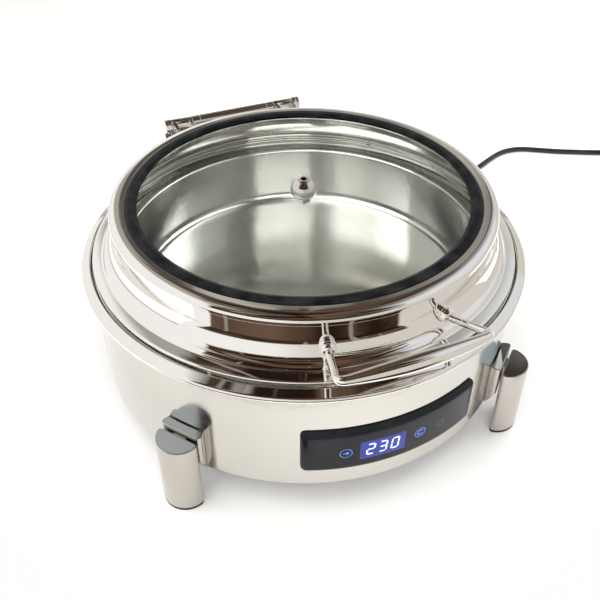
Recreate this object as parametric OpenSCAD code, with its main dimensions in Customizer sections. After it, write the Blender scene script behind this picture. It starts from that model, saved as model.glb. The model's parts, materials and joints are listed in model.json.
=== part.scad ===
// Round electric chafer with a hinged glass lid.
// Origin: centre of the drum's axis on the table, +Z up, the handle and the panel at -Y, the hinge at +Y.

/* [Drum] */
// Outer radius of the drum wall
drum_r = 215; // [195:1:258]
// Height of the drum's lower edge above the table
drum_lift = 37; // [30:1:45]
// Height of the drum wall, lower edge to pan seat
drum_h = 120; // [100:1:144]
// Thickness of the polished sheet
sheet_t = 1.2; // [0.8:0.1:1.5]
// How far the rolled rim stands out from the wall
rim_over = 9.5; // [8:0.5:12]
// Rise of the rim from the pan seat to its inner edge
rim_rise = 7.3; // [6:0.1:9]

/* [Pans] */
// Width of the open ledge between rim and food pan
ledge_w = 16; // [14:0.5:19]
// Depth of the food pan
pan_depth = 65; // [54:1:78]
// Height of the food pan's rolled rim above its seat
pan_rim_h = 5; // [4.5:0.1:6]
// Width of the food pan's flange
pan_flange_w = 11; // [9:0.5:13]
// Depth of water under the food pan
bath_h = 17; // [12:1:20]

/* [Lid] */
// Gap between the lid's flange and the rim
lid_gap = 2.5; // [2:0.1:4]
// Width of the flat flange of the lid
flange_w = 10; // [8:0.5:12]
// Radial width of the flare between flange and neck
flare_w = 14; // [11:0.5:15]
// Height of the flare
flare_h = 20.7; // [17:0.1:24]
// Height of the lid, flange to top of the ring
lid_h = 54.4; // [50:0.1:64]
// Radial width of the ring's rounded shoulder
shoulder_w = 11.2; // [9:0.1:13]
// Height of the ring's rounded shoulder
shoulder_h = 6.4; // [5:0.1:7]
// Width of the flat land between shoulder and gasket
land_w = 4.4; // [3:0.1:6]
// Width of the gasket's upper lip
gasket_w = 12; // [10:0.5:14]
// Thickness of the glass
glass_t = 4; // [3.5:0.1:5]
// Radius of the vent knob
knob_r = 13; // [11:0.5:15]
// Radius of the steam vent
vent_r = 3; // [2.5:0.1:3.5]

/* [Handle] */
// Half angle between the two handle arms
arm_angle = 16.9; // [14:0.1:20]
// Reach of the grip's ends beyond the drum wall
grip_reach = 17; // [14:0.5:20]
// Rise of the arms from the bosses to the grip
grip_rise = 11.2; // [8:0.1:14]
// Radius of the arms
arm_r = 3.4; // [3:0.1:4]
// Radius of the grip at its ends
grip_end_r = 4.25; // [3.8:0.05:5]
// Radius of the grip at its middle
grip_mid_r = 7.8; // [6.5:0.1:9.3]
// How far the grip bows outwards
grip_bow = 4.2; // [0:0.1:5]

/* [Hinge] */
// Radius of the barrel and knuckles
barrel_r = 7; // [6.5:0.1:8]
// Length of the fixed middle barrel
barrel_l = 102; // [85:1:110]
// Length of each lid knuckle
knuckle_l = 24; // [20:1:28]
// Radius of the hinge pin
pin_r = 4; // [3.4:0.1:4.6]
// Height of the hinge axis above the pan seat
hinge_rise = 44.5; // [40:0.5:50]

/* [Legs] */
// Radius of the split leg cylinder
leg_r = 22; // [18:0.1:26]
// Height of the outer leg half above the table
leg_h = 82.5; // [72:0.5:96]
// Gap between the two halves of a leg
leg_split = 1.5; // [1:0.1:2.5]
// Radius of the rounded corners of a leg half
leg_corner_r = 3.5; // [2:0.1:5]
// Half angle between the two front legs
leg_spread = 46.9; // [42:0.1:50]
// Angle by which all four legs are turned about the drum's axis
leg_turn = -5.8; // [-8:0.1:2]
// Height of the rubber feet
foot_h = 3; // [2:0.5:5]

/* [Panel] */
// Half angle of the control panel
panel_angle = 23.7; // [20:0.1:27]
// Height of the control panel
panel_h = 51; // [44:1:56]
// Thickness of the panel's front
panel_t = 4; // [3:0.1:5]

/* [Cord] */
// Diameter of the mains cord
cord_d = 7.5; // [7:0.1:7.5]
// Length of the tapered strain relief
relief_l = 35; // [30:1:45]

/* [Hidden] */
$fn = 96;

fit_gap = 0.1; // between pieces fixed to each other
move_gap = 0.3; // between faces that move past each other
run_gap = 0.05; // radial clearance of the hinge pin

// Heights
seat_z = drum_lift + drum_h;
drum_in_r = drum_r - sheet_t;
rim_r = drum_r + rim_over;

// Pans
seat_r = drum_r - 8; // where the ledge meets the rise to the rim
pan_rim_r = seat_r - ledge_w + 0.5;
pan_wall_r = pan_rim_r - pan_flange_w;
bath_r = pan_rim_r - 2.5; // the water pan's wall, just inside the food pan's rim
pan_floor_z = seat_z + pan_rim_h - pan_depth;
bath_floor_z = pan_floor_z - sheet_t - bath_h;

// Lid radii, from the outside in
lid_r = drum_r - lid_gap;
step_r = lid_r - flange_w;
neck_r = step_r - 13.5;
ring_r = neck_r + sheet_t + fit_gap;
land_r = ring_r - shoulder_w;
well_r = land_r - land_w;
gasket_r = well_r - 0.2;
glass_r = gasket_r - 5.8;
flange_z = seat_z + rim_rise - 0.1;
flare_z = flange_z + 10.2 + flare_h * sin(75);
ring_z = flange_z + lid_h;
lip_z = ring_z - shoulder_h - 2.6;
glass_z = ring_z - 1.8 - glass_t; // underside of the glass
well_z = glass_z - 1.3;

// Hinge
hinge_y = drum_r + 2;
hinge_z = seat_z + hinge_rise;
bracket_t = 3;
bracket_r = rim_r + 9; // inside of the wall behind the rim
bracket_angle = 21;
cheek_t = 4;
cheek_x = barrel_l / 2 + knuckle_l + 2 * move_gap;
knuckle_x = barrel_l / 2 + move_gap;
cap_l = 4;
bracket_top_z = seat_z - 6; // of the plate on the drum
bracket_low_z = bracket_top_z - 52;
bracket_wall_z = hinge_z - 11; // top of the wall behind the rim
lug_x = 30;
lug_t = 6;
arm_web_t = 4;
arm_pad_t = 2.4;
arm_pad_h = 12;
arm_pad_z = lip_z - arm_pad_h - 1.4;

// Handle
handle_z = seat_z + 29.8; // of the bosses
grip_z = handle_z + grip_rise;
boss_r = 7.3;
boss_l = 9;
grip_y = drum_r + grip_reach; // distance of the grip's ends from the drum's axis

// Legs
leg_centre_r = drum_r + 10.3;
leg_angles = [for (front = [-90, 90], side = [-1, 1]) front + leg_turn + side * leg_spread];
backing_low = drum_lift + 0.5; // of the inner half where it meets the drum
backing_slope = 19; // rise of its slanted lower end
backing_top = leg_h + 5.5;

// Panel and electronics
panel_z = drum_lift + 23.5;
panel_mid_z = panel_z + panel_h / 2;
board_y = drum_r - 16;
board_w = 120;
board_h = 38;
board_t = 1.6;
plate_r = drum_r - 95;
plate_t = 6.5;
plate_z = bath_floor_z - sheet_t - plate_t - fit_gap;
element_r = plate_r - 35;
element_tube_r = 4;
terminal_r = 3;
terminal_angle = 16.5; // of each terminal from the front
shield_z = plate_z - 14;
cover_z = drum_lift + 0.6;
lead_x = 22; // of the heater leads on the power board

// Cord: points along its middle, from the strain relief to the coil
relief_angle = 58;
relief_z = drum_lift + 15;
exit_r = drum_r + 3 + relief_l;
cord_r = cord_d / 2;
cord_route = [[134, 214.5, 52], [138.5, 221.5, 51.2], [143, 228, 49], [148, 234, 45], [153, 239.5, 39],
    [158, 244.5, 31.5], [163, 249, 23.5], [168, 253, 16.5], [174, 257.5, 10.5], [182, 262.5, 6],
    [191, 267.5, 4], [205, 274, 3.8], [225, 280, 3.8], [248, 283, 3.8], [272, 282, 3.8], [297, 278, 3.8],
    [322, 272.5, 3.8], [347, 268.5, 3.8], [370, 267, 3.8], [393, 270, 3.8], [416, 278, 3.8],
    [439, 289, 3.8], [461, 299, 3.8], [481, 304.5, 3.8], [499, 304.5, 3.8], [517, 299, 3.8],
    [537, 287, 3.8], [560, 273.5, 3.8], [584, 261, 3.8], [609, 249, 3.8], [638, 236, 3.8], [668, 222, 3.8]];
coil_centre = [648, 181];
coil_in_r = 38; // middle of the inner turn
coil_layers = 2;
tail_route = [[683, 152, 11.3], [676, 143, 12.2], [668, 133.5, 13.4], [660, 124, 14]];
plug_dir = -128;
plug_l = 34;
plug_r = 14;
cord_sides = 8;

// ---- shapes shared by several pieces ----

function unit(v) = v / norm(v);
function left(v) = [-v[1], v[0]];
function arc(c, r, a0, a1, n = 6) =
    [for (i = [0:n]) let (a = a0 + (a1 - a0) * i / n) c + r * [cos(a), sin(a)]];
function oval(c, a, b, a0, a1, n = 8) =
    [for (i = [0:n]) let (t = a0 + (a1 - a0) * i / n) c + [a * cos(t), b * sin(t)]];

// The point at distance t to the left of corner i of a path.
function inset(path, i, t) =
    let (
        last = len(path) - 1,
        before = i == 0 ? unit(path[1] - path[0]) : unit(path[i] - path[i - 1]),
        after = i == last ? before : unit(path[i + 1] - path[i]),
        middle = unit(left(before) + left(after))
    )
    path[i] + middle * t / (middle * left(before));

// A sheet's section: the path and its copy at distance t to the left.
function strip(path, t) =
    concat(path, [for (i = [len(path) - 1:-1:0]) inset(path, i, t)]);

module spun(path, t = sheet_t) {
    rotate_extrude() polygon(strip(path, t));
}

// A sector of a turned section, centred on an angle.
module sector(middle, half) {
    rotate([0, 0, middle - half]) rotate_extrude(angle = 2 * half) children();
}

// Children stand with their Z axis pointing outwards at an angle.
module outwards(angle, r, z) {
    rotate([0, 0, angle]) translate([r, 0, z]) rotate([0, 90, 0]) children();
}

// Children stand with their Z axis along the hinge axis.
module on_hinge(x) {
    translate([x, hinge_y, hinge_z]) rotate([0, 90, 0]) children();
}

function ring_at(p, along, r, sides) =
    let (side = unit(cross(along, [0, 0, 1])), up = cross(side, along))
    [for (k = [0:sides - 1]) p + r * (cos(360 * k / sides) * side + sin(360 * k / sides) * up)];
function heading(route, i) =
    unit(route[min(i + 1, len(route) - 1)] - route[max(i - 1, 0)]);

// A tube along a route, with a radius for each of its points.
module tube(route, radii, sides) {
    last = len(route) - 1;
    points = [for (i = [0:last]) each ring_at(route[i], heading(route, i), radii[i], sides)];
    walls = [for (i = [0:last - 1], k = [0:sides - 1])
        let (a = i * sides + k, b = i * sides + (k + 1) % sides) [a, b, b + sides, a + sides]];
    first_end = [for (k = [sides - 1:-1:0]) k];
    last_end = [for (k = [0:sides - 1]) last * sides + k];
    polyhedron(points, concat(walls, [first_end, last_end]), convexity = 6);
}

module even_tube(route, r, sides) {
    tube(route, [for (p = route) r], sides);
}

// ---- drum ----

module at_cover_screws(z) {
    for (a = [15:60:315]) rotate([0, 0, a]) translate([drum_r - 6, 0, z]) children();
}

module at_leg_screws(r) {
    for (a = leg_angles, z = [drum_lift + 24, drum_lift + 42]) outwards(a, r, z) children();
}

module at_bracket_screws(r) {
    for (a = [-12, 12], z = [bracket_low_z + 12, bracket_low_z + 36]) outwards(90 + a, r, z) children();
}

module drum_shell() {
    wall = concat([[drum_r - 9, drum_lift], [drum_r - 2, drum_lift]],
        arc([drum_r - 2, drum_lift + 2], 2, -60, 0, 3), [[drum_r, seat_z + 1]]);
    color("gainsboro") difference() {
        spun(wall);
        sector(-90, panel_angle - 2.2) translate([drum_r - 5, panel_z + 5]) square([10, panel_h - 10]);
        outwards(relief_angle, drum_r - 8, relief_z) cylinder(r = 6.6, h = 16);
        at_leg_screws(drum_r - 8) cylinder(r = 2.2, h = 16, $fn = 24);
        at_bracket_screws(drum_r - 8) cylinder(r = 2.2, h = 12, $fn = 24);
        at_cover_screws(drum_lift - 1) cylinder(r = 2.1, h = 4, $fn = 24);
    }
}

module drum_rim() {
    low_z = seat_z - 2.4;
    roll = concat([[drum_r + fit_gap, low_z]], arc([rim_r - 2, low_z + 2], 2, -90, 0, 5),
        arc([rim_r - 3.5, seat_z + 0.4], 3.5, 0, 58, 5),
        [[drum_r + 0.8, seat_z + rim_rise]], [[drum_r - 0.6, seat_z + rim_rise - 0.6]]);
    color("silver") spun(roll);
}

module water_pan() {
    tray = concat([[drum_r - 1.4, seat_z + 5.2], [seat_r + 1.6, seat_z + 5.2], [seat_r, seat_z]],
        arc([bath_r + 2, seat_z - 2], 2, 90, 180, 4),
        arc([bath_r - 14, bath_floor_z + 12], 12, 0, -90, 6), [[0, bath_floor_z]]);
    color("gainsboro") spun(tray);
}

module bottom_cover() {
    color("darkgray") difference() {
        translate([0, 0, cover_z + 0.8]) cylinder(r = drum_in_r - 0.6, h = sheet_t);
        for (a = [0:15:345], r = [60, 90, 120])
            rotate([0, 0, a]) translate([r, 0, cover_z - 1]) cylinder(r = 3, h = 6, $fn = 24);
        at_cover_screws(cover_z - 1) cylinder(r = 2.1, h = 6, $fn = 24);
    }
}

module cover_screws() {
    color("silver") at_cover_screws(drum_lift) {
        translate([0, 0, -1.9]) cylinder(r = 3.4, h = 1.8, $fn = 24);
        translate([0, 0, -0.2]) cylinder(r = 1.9, h = 8, $fn = 24);
    }
}

// ---- heater ----

module heating_plate() {
    color("lightgray") translate([0, 0, plate_z]) difference() {
        cylinder(r = plate_r, h = plate_t);
        translate([0, 0, -1]) cylinder(r = 11, h = 4);
    }
}

module at_terminals(z) {
    for (side = [-1, 1]) rotate([0, 0, -90 + side * terminal_angle]) translate([element_r, 0, z]) children();
}

module heating_element() {
    middle_z = plate_z - element_tube_r - fit_gap;
    color("dimgray") {
        translate([0, 0, middle_z]) sector(90, 166) translate([element_r, 0]) circle(r = element_tube_r);
        at_terminals(shield_z - 8) cylinder(r = terminal_r, h = middle_z - shield_z + 8);
    }
}

module thermostat() {
    color("white") translate([0, 0, plate_z - 8]) cylinder(r = 8, h = 8 - fit_gap);
}

module thermal_cutout() {
    color("ivory") translate([45, 0, plate_z - 6]) cylinder(r = 7, h = 6 - fit_gap);
}

module heat_shield() {
    color("silver") difference() {
        translate([0, 0, shield_z]) cylinder(r = plate_r + 6, h = 0.8);
        for (a = [0:90:270]) rotate([0, 0, a + 45]) translate([plate_r - 12, 0, shield_z - 1])
            cylinder(r = 2.6, h = 4, $fn = 24);
        at_terminals(shield_z - 1) cylinder(r = terminal_r + 2, h = 4);
    }
}

module shield_studs() {
    color("goldenrod") for (a = [0:90:270]) rotate([0, 0, a + 45]) translate([plate_r - 12, 0, 0]) {
        translate([0, 0, shield_z - 4]) cylinder(r = 2.4, h = plate_z - shield_z + 4 - fit_gap, $fn = 24);
        translate([0, 0, shield_z - 3.3]) cylinder(r = 4.6, h = 3.2, $fn = 6);
    }
}

// ---- control panel ----

module panel_lens() {
    back = drum_r + fit_gap;
    front = back + panel_t;
    bevel = 1.6;
    top_bevel = [3, 6.5];
    top = panel_z + panel_h;
    color("black") sector(-90, panel_angle)
        polygon([[back, panel_z], [front - bevel, panel_z], [front, panel_z + bevel],
            [front, top - top_bevel[1]], [front - top_bevel[0], top], [back, top]]);
}

module panel_frame() {
    color("dimgray") difference() {
        sector(-90, panel_angle - 2.6) translate([drum_in_r - 4, panel_z + 6])
            square([4 + sheet_t - fit_gap, panel_h - 12]);
        sector(-90, panel_angle - 5) translate([drum_in_r - 8, panel_z + 9])
            square([16, panel_h - 18]);
    }
}

module display_module() {
    color("midnightblue") translate([-23, -board_y - board_t / 2 - 7.2, panel_mid_z - 11])
        cube([46, 7, 22]);
}

module control_board() {
    color("darkgreen") difference() {
        translate([-board_w / 2, -board_y - board_t / 2, panel_mid_z - board_h / 2])
            cube([board_w, board_t, board_h]);
        for (x = [-1, 1], z = [-1, 1])
            translate([x * (board_w / 2 - 5), -board_y, panel_mid_z + z * (board_h / 2 - 5)])
                rotate([90, 0, 0]) cylinder(r = 1.7, h = 8, center = true, $fn = 24);
    }
}

module board_posts() {
    post_x = board_w / 2 - 5;
    window_y = sqrt(pow(drum_in_r - 4, 2) - pow(post_x + 3, 2));
    post_l = window_y - board_y - board_t / 2 - 2 * fit_gap;
    color("gold") for (x = [-1, 1], z = [-1, 1])
        translate([x * post_x, -board_y - board_t / 2 - fit_gap, panel_mid_z + z * (board_h / 2 - 5)])
            rotate([90, 0, 0]) cylinder(r = 2.8, h = post_l, $fn = 24);
}

module power_board() {
    top = cover_z + 9;
    color("darkgreen") translate([-45, 45 - drum_r, 0]) {
        translate([0, 0, top]) cube([90, 46, 1.6]);
        translate([6, 6, top + 1.6]) cube([24, 22, 14]);
        translate([38, 8, top + 1.6]) cube([19, 15, 12]);
        translate([66, 12, top + 1.6]) cylinder(r = 6, h = 15);
        for (side = [-1, 1]) translate([45 + side * lead_x - 3, 28, top + 1.6]) cube([6, 6, 5]);
        for (x = [4, 86], y = [4, 42]) translate([x, y, cover_z + 2.1])
            cylinder(r = 2.5, h = top - cover_z - 2.1, $fn = 24);
    }
}

module terminal_block() {
    color("white") translate([100, 95, cover_z + 2.1]) difference() {
        cube([36, 14, 13]);
        for (x = [6:12:30]) translate([x, 7, 5]) cylinder(r = 2.2, h = 10, $fn = 24);
    }
}

// A lead's middle at share t of its way from the board to the element's terminal.
function lead_at(side, t) =
    let (
        from = [side * lead_x, 79.1 - drum_r],
        terminal = element_r * [side * sin(terminal_angle), -cos(terminal_angle)],
        to = terminal - [0, terminal_r + fit_gap]
    )
    concat(from + (to - from) * t, [shield_z - 6 - 0.7 * sin(180 * t)]);

module heater_leads() {
    colours = ["firebrick", "royalblue"];
    for (k = [0, 1]) color(colours[k]) even_tube([for (i = [0:6]) lead_at(2 * k - 1, i / 6)], 1.6, 8);
}

// ---- legs ----

// Section of one leg half, on its outer or inner side of the split.
module leg_section(outer, r = leg_r) {
    flat = leg_split / 2;
    reach = sqrt(pow(r - leg_corner_r, 2) - pow(flat + leg_corner_r, 2));
    turn = atan2(reach, flat + leg_corner_r);
    points = concat(arc([flat + leg_corner_r, -reach], leg_corner_r, -180, -turn, 5),
        arc([0, 0], r, -turn, turn, 24),
        arc([flat + leg_corner_r, reach], leg_corner_r, turn, 180, 5));
    mirror([outer ? 0 : 1, 0, 0]) polygon(points);
}

module leg_at(k) {
    rotate([0, 0, leg_angles[k - 1]]) translate([leg_centre_r, 0, 0]) children();
}

module leg_tube(k) {
    color("lightgray") leg_at(k) translate([0, 0, foot_h]) difference() {
        linear_extrude(leg_h - foot_h) leg_section(true);
        translate([2 * sheet_t, 0, -1]) intersection() {
            linear_extrude(leg_h - foot_h - 2) leg_section(true, leg_r - 2.4 * sheet_t);
            translate([0, -leg_r, 0]) cube([leg_r, 2 * leg_r, leg_h]);
        }
    }
}

module leg_backing(k) {
    wall_x = drum_r - leg_centre_r;
    color("lightgray") leg_at(k) {
        difference() {
            translate([0, 0, backing_low]) linear_extrude(backing_top - backing_low) leg_section(false);
            translate([-leg_centre_r, 0, 0]) cylinder(r = drum_r + fit_gap, h = 2 * leg_h, $fn = 180);
            translate([0, leg_r + 1, 0]) rotate([90, 0, 0]) linear_extrude(2 * leg_r + 2)
                polygon([[wall_x, backing_low - 1], [wall_x, backing_low], [0, backing_low + backing_slope],
                    [0, backing_low - 1]]);
        }
        translate([-leg_split / 2 - 0.5, -7, drum_lift + 24]) cube([leg_split + 0.5 - fit_gap, 14, 20]);
    }
}

module leg_foot(k) {
    color("black") leg_at(k) linear_extrude(foot_h - fit_gap) leg_section(true, leg_r - 0.4);
}

module leg_screws() {
    color("silver") at_leg_screws(drum_in_r) {
        translate([0, 0, -2.9]) cylinder(r = 3.8, h = 2.8, $fn = 24);
        translate([0, 0, -1]) cylinder(r = 2, h = sheet_t + 1, $fn = 24);
    }
}

// ---- mains cord ----

module cord_gland() {
    color("black") outwards(relief_angle, 0, relief_z) difference() {
        union() {
            translate([0, 0, drum_r + fit_gap]) cylinder(r = 10, h = 2.8);
            translate([0, 0, drum_in_r - 8]) cylinder(r = 6.4, h = 10);
            translate([0, 0, drum_in_r - 7]) cylinder(r = 9.5, h = 6.4, $fn = 6);
        }
        translate([0, 0, drum_in_r - 12]) cylinder(r = cord_r + fit_gap, h = 20);
    }
}

module cord_relief() {
    base = drum_r + 2.8 + 2 * fit_gap;
    color("black") outwards(relief_angle, 0, relief_z)
        rotate_extrude() polygon([[0, base], [7, base], [6.6, base + 6], [5.2, exit_r - 8],
            [cord_r + 0.6, exit_r - fit_gap], [0, exit_r - fit_gap]]);
}

module cord() {
    color("black") even_tube(cord_route, cord_r, cord_sides);
}

module cord_coil() {
    out_r = coil_in_r + cord_d;
    top = coil_layers * cord_d;
    round_r = cord_r * 0.8;
    color("black") translate([coil_centre[0], coil_centre[1], 0.05]) rotate_extrude()
        polygon(concat(arc([coil_in_r - cord_r + round_r, round_r], round_r, 180, 270, 4),
            arc([out_r + cord_r - round_r, round_r], round_r, 270, 360, 4),
            arc([out_r + cord_r - round_r, top - round_r], round_r, 0, 90, 4),
            arc([coil_in_r - cord_r + round_r, top - round_r], round_r, 90, 180, 4)));
}

module cord_tail() {
    color("black") even_tube(tail_route, cord_r, cord_sides);
}

module plug_body() {
    neck_l = 16;
    color("black") translate(tail_route[3]) rotate([0, 90, plug_dir]) rotate_extrude()
        polygon([[0, fit_gap], [cord_r + 1, fit_gap], [cord_r + 2.2, neck_l], [plug_r - 2, neck_l + 6],
            [plug_r - 0.2, neck_l + 12], [plug_r - 0.2, neck_l + plug_l - 2], [plug_r - 1.5, neck_l + plug_l],
            [0, neck_l + plug_l]]);
}

module plug_pins() {
    color("silver") translate(tail_route[3]) rotate([0, 0, plug_dir]) for (side = [-1, 1])
        translate([16 + plug_l + fit_gap, side * 7, 0]) rotate([0, 90, 0]) {
            cylinder(r = 2.4, h = 17, $fn = 32);
            translate([0, 0, 17]) cylinder(r1 = 2.4, r2 = 1.4, h = 2, $fn = 32);
        }
}

// ---- hinge ----

module at_barrel_screws(r) {
    for (side = [-1, 1]) outwards(90 + side * asin(lug_x / bracket_r), r, bracket_wall_z - 6) children();
}

module hinge_bracket() {
    cheek_y = sqrt(pow(rim_r, 2) - pow(cheek_x, 2)) + 2;
    low_z = bracket_top_z - bracket_t;
    eye_r = barrel_r + 0.5;
    color("silver") difference() {
        union() {
            sector(90, bracket_angle) polygon([[drum_r + fit_gap, bracket_low_z],
                [drum_r + bracket_t, bracket_low_z], [drum_r + bracket_t, low_z],
                [bracket_r + bracket_t, low_z], [bracket_r + bracket_t, bracket_wall_z],
                [bracket_r, bracket_wall_z], [bracket_r, bracket_top_z], [drum_r + fit_gap, bracket_top_z]]);
            for (side = [-1, 1]) translate([side * (cheek_x + cheek_t / 2) - cheek_t / 2, 0, 0]) {
                translate([0, cheek_y, low_z]) cube([cheek_t, hinge_y + eye_r - cheek_y, hinge_z - low_z]);
                translate([0, hinge_y, hinge_z]) rotate([0, 90, 0]) cylinder(r = eye_r, h = cheek_t);
            }
        }
        on_hinge(-cheek_x - 10) cylinder(r = pin_r + fit_gap / 2, h = 2 * cheek_x + 20);
        at_bracket_screws(drum_r - 5) cylinder(r = 2.2, h = 12, $fn = 24);
        at_barrel_screws(bracket_r - 5) cylinder(r = 2.2, h = 12, $fn = 24);
    }
}

module hinge_barrel() {
    lug_y = sqrt(pow(bracket_r - fit_gap, 2) - pow(lug_x + lug_t / 2, 2)) - fit_gap;
    sleeve_r = barrel_r - 1.4;
    color("lightgray") difference() {
        union() {
            on_hinge(-barrel_l / 2) cylinder(r = barrel_r, h = barrel_l);
            for (side = [-1, 1]) translate([side * lug_x - lug_t / 2, hinge_y + 1, bracket_wall_z - 10])
                cube([lug_t, lug_y - hinge_y - 1, 20]);
        }
        on_hinge(-barrel_l / 2 - 1) cylinder(r = pin_r + fit_gap, h = barrel_l + 2);
        for (start = [-barrel_l / 2 - 1, barrel_l / 2 - 30]) on_hinge(start) cylinder(r = sleeve_r, h = 31);
    }
}

module hinge_dampers() {
    color("dimgray") for (side = [-1, 1]) on_hinge(side * (barrel_l / 2 - 15) - 14) difference() {
        cylinder(r = barrel_r - 1.4 - fit_gap, h = 28);
        translate([0, 0, -1]) cylinder(r = pin_r + fit_gap, h = 30);
    }
}

module hinge_pin() {
    color("silver") on_hinge(-cheek_x - cheek_t) cylinder(r = pin_r, h = 2 * (cheek_x + cheek_t));
}

module hinge_caps() {
    color("silver") for (side = [-1, 1])
        on_hinge(side * (cheek_x + cheek_t + fit_gap + cap_l / 2) - cap_l / 2) cylinder(r = 7.5, h = cap_l);
}

module hinge_screws() {
    color("silver") {
        at_bracket_screws(drum_in_r) {
            cylinder(r = 2, h = sheet_t + bracket_t + fit_gap, $fn = 24);
            translate([0, 0, sheet_t + bracket_t + fit_gap]) cylinder(r = 4.6, h = 2.6, $fn = 24);
        }
        at_barrel_screws(bracket_r + fit_gap) {
            cylinder(r = 2, h = bracket_t, $fn = 24);
            translate([0, 0, bracket_t]) cylinder(r = 4, h = 2.4, $fn = 24);
        }
    }
}

// ---- food pan ----

module food_pan() {
    low = seat_z + move_gap;
    top = seat_z + pan_rim_h;
    bowl = concat([[pan_rim_r, low]], arc([pan_rim_r - 2, top - 2], 2, 0, 90, 4),
        arc([pan_wall_r + 3, top - 3], 3, 90, 176, 4),
        arc([pan_wall_r - 10.5, pan_floor_z + 9], 9, -2, -90, 6), [[0, pan_floor_z]]);
    color("gainsboro") spun(bowl);
}

// ---- lid ----

module lid_neck() {
    hem = 2.1;
    side = concat([[lid_r - 5, flange_z]], arc([lid_r - hem, flange_z + hem], hem, -90, 78, 7),
        [[step_r, flange_z + 6.2], [step_r - 1.4, flange_z + 7]],
        oval([neck_r + flare_w, flare_z], -flare_w, -flare_h, 75, 0, 8),
        [[neck_r, lip_z + 1.6]]);
    color("silver") difference() {
        spun(side);
        for (side_sign = [-1, 1]) outwards(-90 + side_sign * arm_angle, neck_r - 10, handle_z)
            cylinder(r = 2.6, h = 20, $fn = 24);
    }
}

module lid_ring() {
    section = concat([[ring_r, lip_z]], oval([land_r, ring_z - shoulder_h], shoulder_w, shoulder_h, 0, 90, 8),
        [[well_r, ring_z], [well_r, well_z], [glass_r - 3, well_z]]);
    color("silver") spun(section);
}

module gasket() {
    lip_top = ring_z + 1.5;
    glass_top = glass_z + glass_t + fit_gap;
    inner = gasket_r - gasket_w;
    color("black") rotate_extrude() polygon([[gasket_r, well_z + fit_gap], [gasket_r, ring_z - 0.3],
        [gasket_r - 1.2, lip_top - 0.5], [gasket_r - 3.4, lip_top], [inner + 4, lip_top],
        [inner + 1.8, lip_top - 0.5], [inner + 0.4, lip_top - 1.6], [inner, glass_top + 0.3],
        [inner, glass_top], [glass_r + fit_gap, glass_top], [glass_r + fit_gap, glass_z - fit_gap],
        [glass_r - 2.6, glass_z - fit_gap], [glass_r - 2.6, well_z + fit_gap]]);
}

module glass() {
    color("lightcyan", 0.4) translate([0, 0, glass_z]) difference() {
        cylinder(r = glass_r, h = glass_t);
        translate([0, 0, -1]) cylinder(r = 5, h = glass_t + 2);
    }
}

module vent_knob() {
    base = glass_z + glass_t + 0.9;
    centre_z = base + 2.2;
    collar_r = vent_r + 1.2;
    low_angle = -asin(2.2 / knob_r);
    top_angle = acos(collar_r / knob_r);
    stem = glass_z - 9;
    color("silver") rotate_extrude() polygon(concat([[vent_r, stem], [4.6, stem], [4.6, base]],
        arc([0, centre_z], knob_r, low_angle, top_angle, 16),
        arc([vent_r + 0.6, centre_z + knob_r * sin(top_angle) + 0.3], 0.6, 0, 180, 4)));
}

module knob_seal() {
    color("dimgray") {
        translate([0, 0, glass_z + glass_t + fit_gap]) difference() {
            cylinder(r = knob_r - 0.8, h = 0.7);
            translate([0, 0, -1]) cylinder(r = 4.7, h = 3);
        }
        translate([0, 0, glass_z - 0.9]) difference() {
            cylinder(r = 10, h = 0.8);
            translate([0, 0, -1]) cylinder(r = 4.7, h = 3);
        }
    }
}

module knob_nut() {
    color("silver") translate([0, 0, glass_z - 6]) difference() {
        cylinder(r = 8, h = 5, $fn = 6);
        translate([0, 0, -1]) cylinder(r = 4.7, h = 7);
    }
}

// ---- handle ----

module handle_bosses() {
    base = neck_r + fit_gap;
    neck_side = oval([neck_r + flare_w, flare_z], fit_gap - flare_w, fit_gap - flare_h, 75, 0, 8);
    color("silver") difference() {
        for (side = [-1, 1]) outwards(-90 + side * arm_angle, 0, handle_z) rotate_extrude()
            polygon(concat([[0, base], [boss_r, base], [boss_r, base + 1.6]],
                oval([arm_r + 0.6, base + 1.6], boss_r - arm_r - 0.6, boss_l - 1.8, 10, 90, 5),
                [[0, base + boss_l - 0.2]]));
        rotate_extrude() polygon(concat([[0, flare_z - flare_h]], neck_side, [[base, ring_z], [0, ring_z]]));
    }
}

// One side of the grip's route: up along the arm, round the corner, then along the grip to its middle.
function corner_of(side) = [side * grip_y * tan(arm_angle), -grip_y, grip_z];
function bow_at(x) = -grip_y - grip_bow * (1 - pow(x / (grip_y * tan(arm_angle)), 2));
function half_route(side) =
    let (
        corner = corner_of(side),
        out = [side * sin(arm_angle), -cos(arm_angle), 0],
        boss_end = out * (neck_r + boss_l + fit_gap) + [0, 0, handle_z],
        start = boss_end + out * 3,
        turn_r = 9,
        from = corner - unit(corner - start) * turn_r,
        grip_x = abs(corner[0]) - turn_r,
        to = [side * grip_x, bow_at(grip_x), grip_z]
    )
    concat([boss_end], [for (i = [0:2]) start + (from - start) * i / 3],
        [for (i = [0:6]) let (t = i / 6)
            pow(1 - t, 2) * from + 2 * t * (1 - t) * corner + t * t * to],
        [for (i = [1:12]) let (x = grip_x * (1 - i / 12)) [side * x, bow_at(x), grip_z]]);
function half_radii() =
    concat([for (i = [0:3]) arm_r], [for (i = [0:6]) arm_r + (grip_end_r - arm_r) * i / 6],
        [for (i = [1:12]) grip_end_r + (grip_mid_r - grip_end_r) * sin(90 * i / 12)]);

module handle_bar() {
    right_route = half_route(1);
    left_route = half_route(-1);
    radii = half_radii();
    last = len(radii) - 1;
    color("silver") tube(concat(left_route, [for (i = [last - 1:-1:0]) right_route[i]]),
        concat(radii, [for (i = [last - 1:-1:0]) radii[i]]), 20);
}

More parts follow.
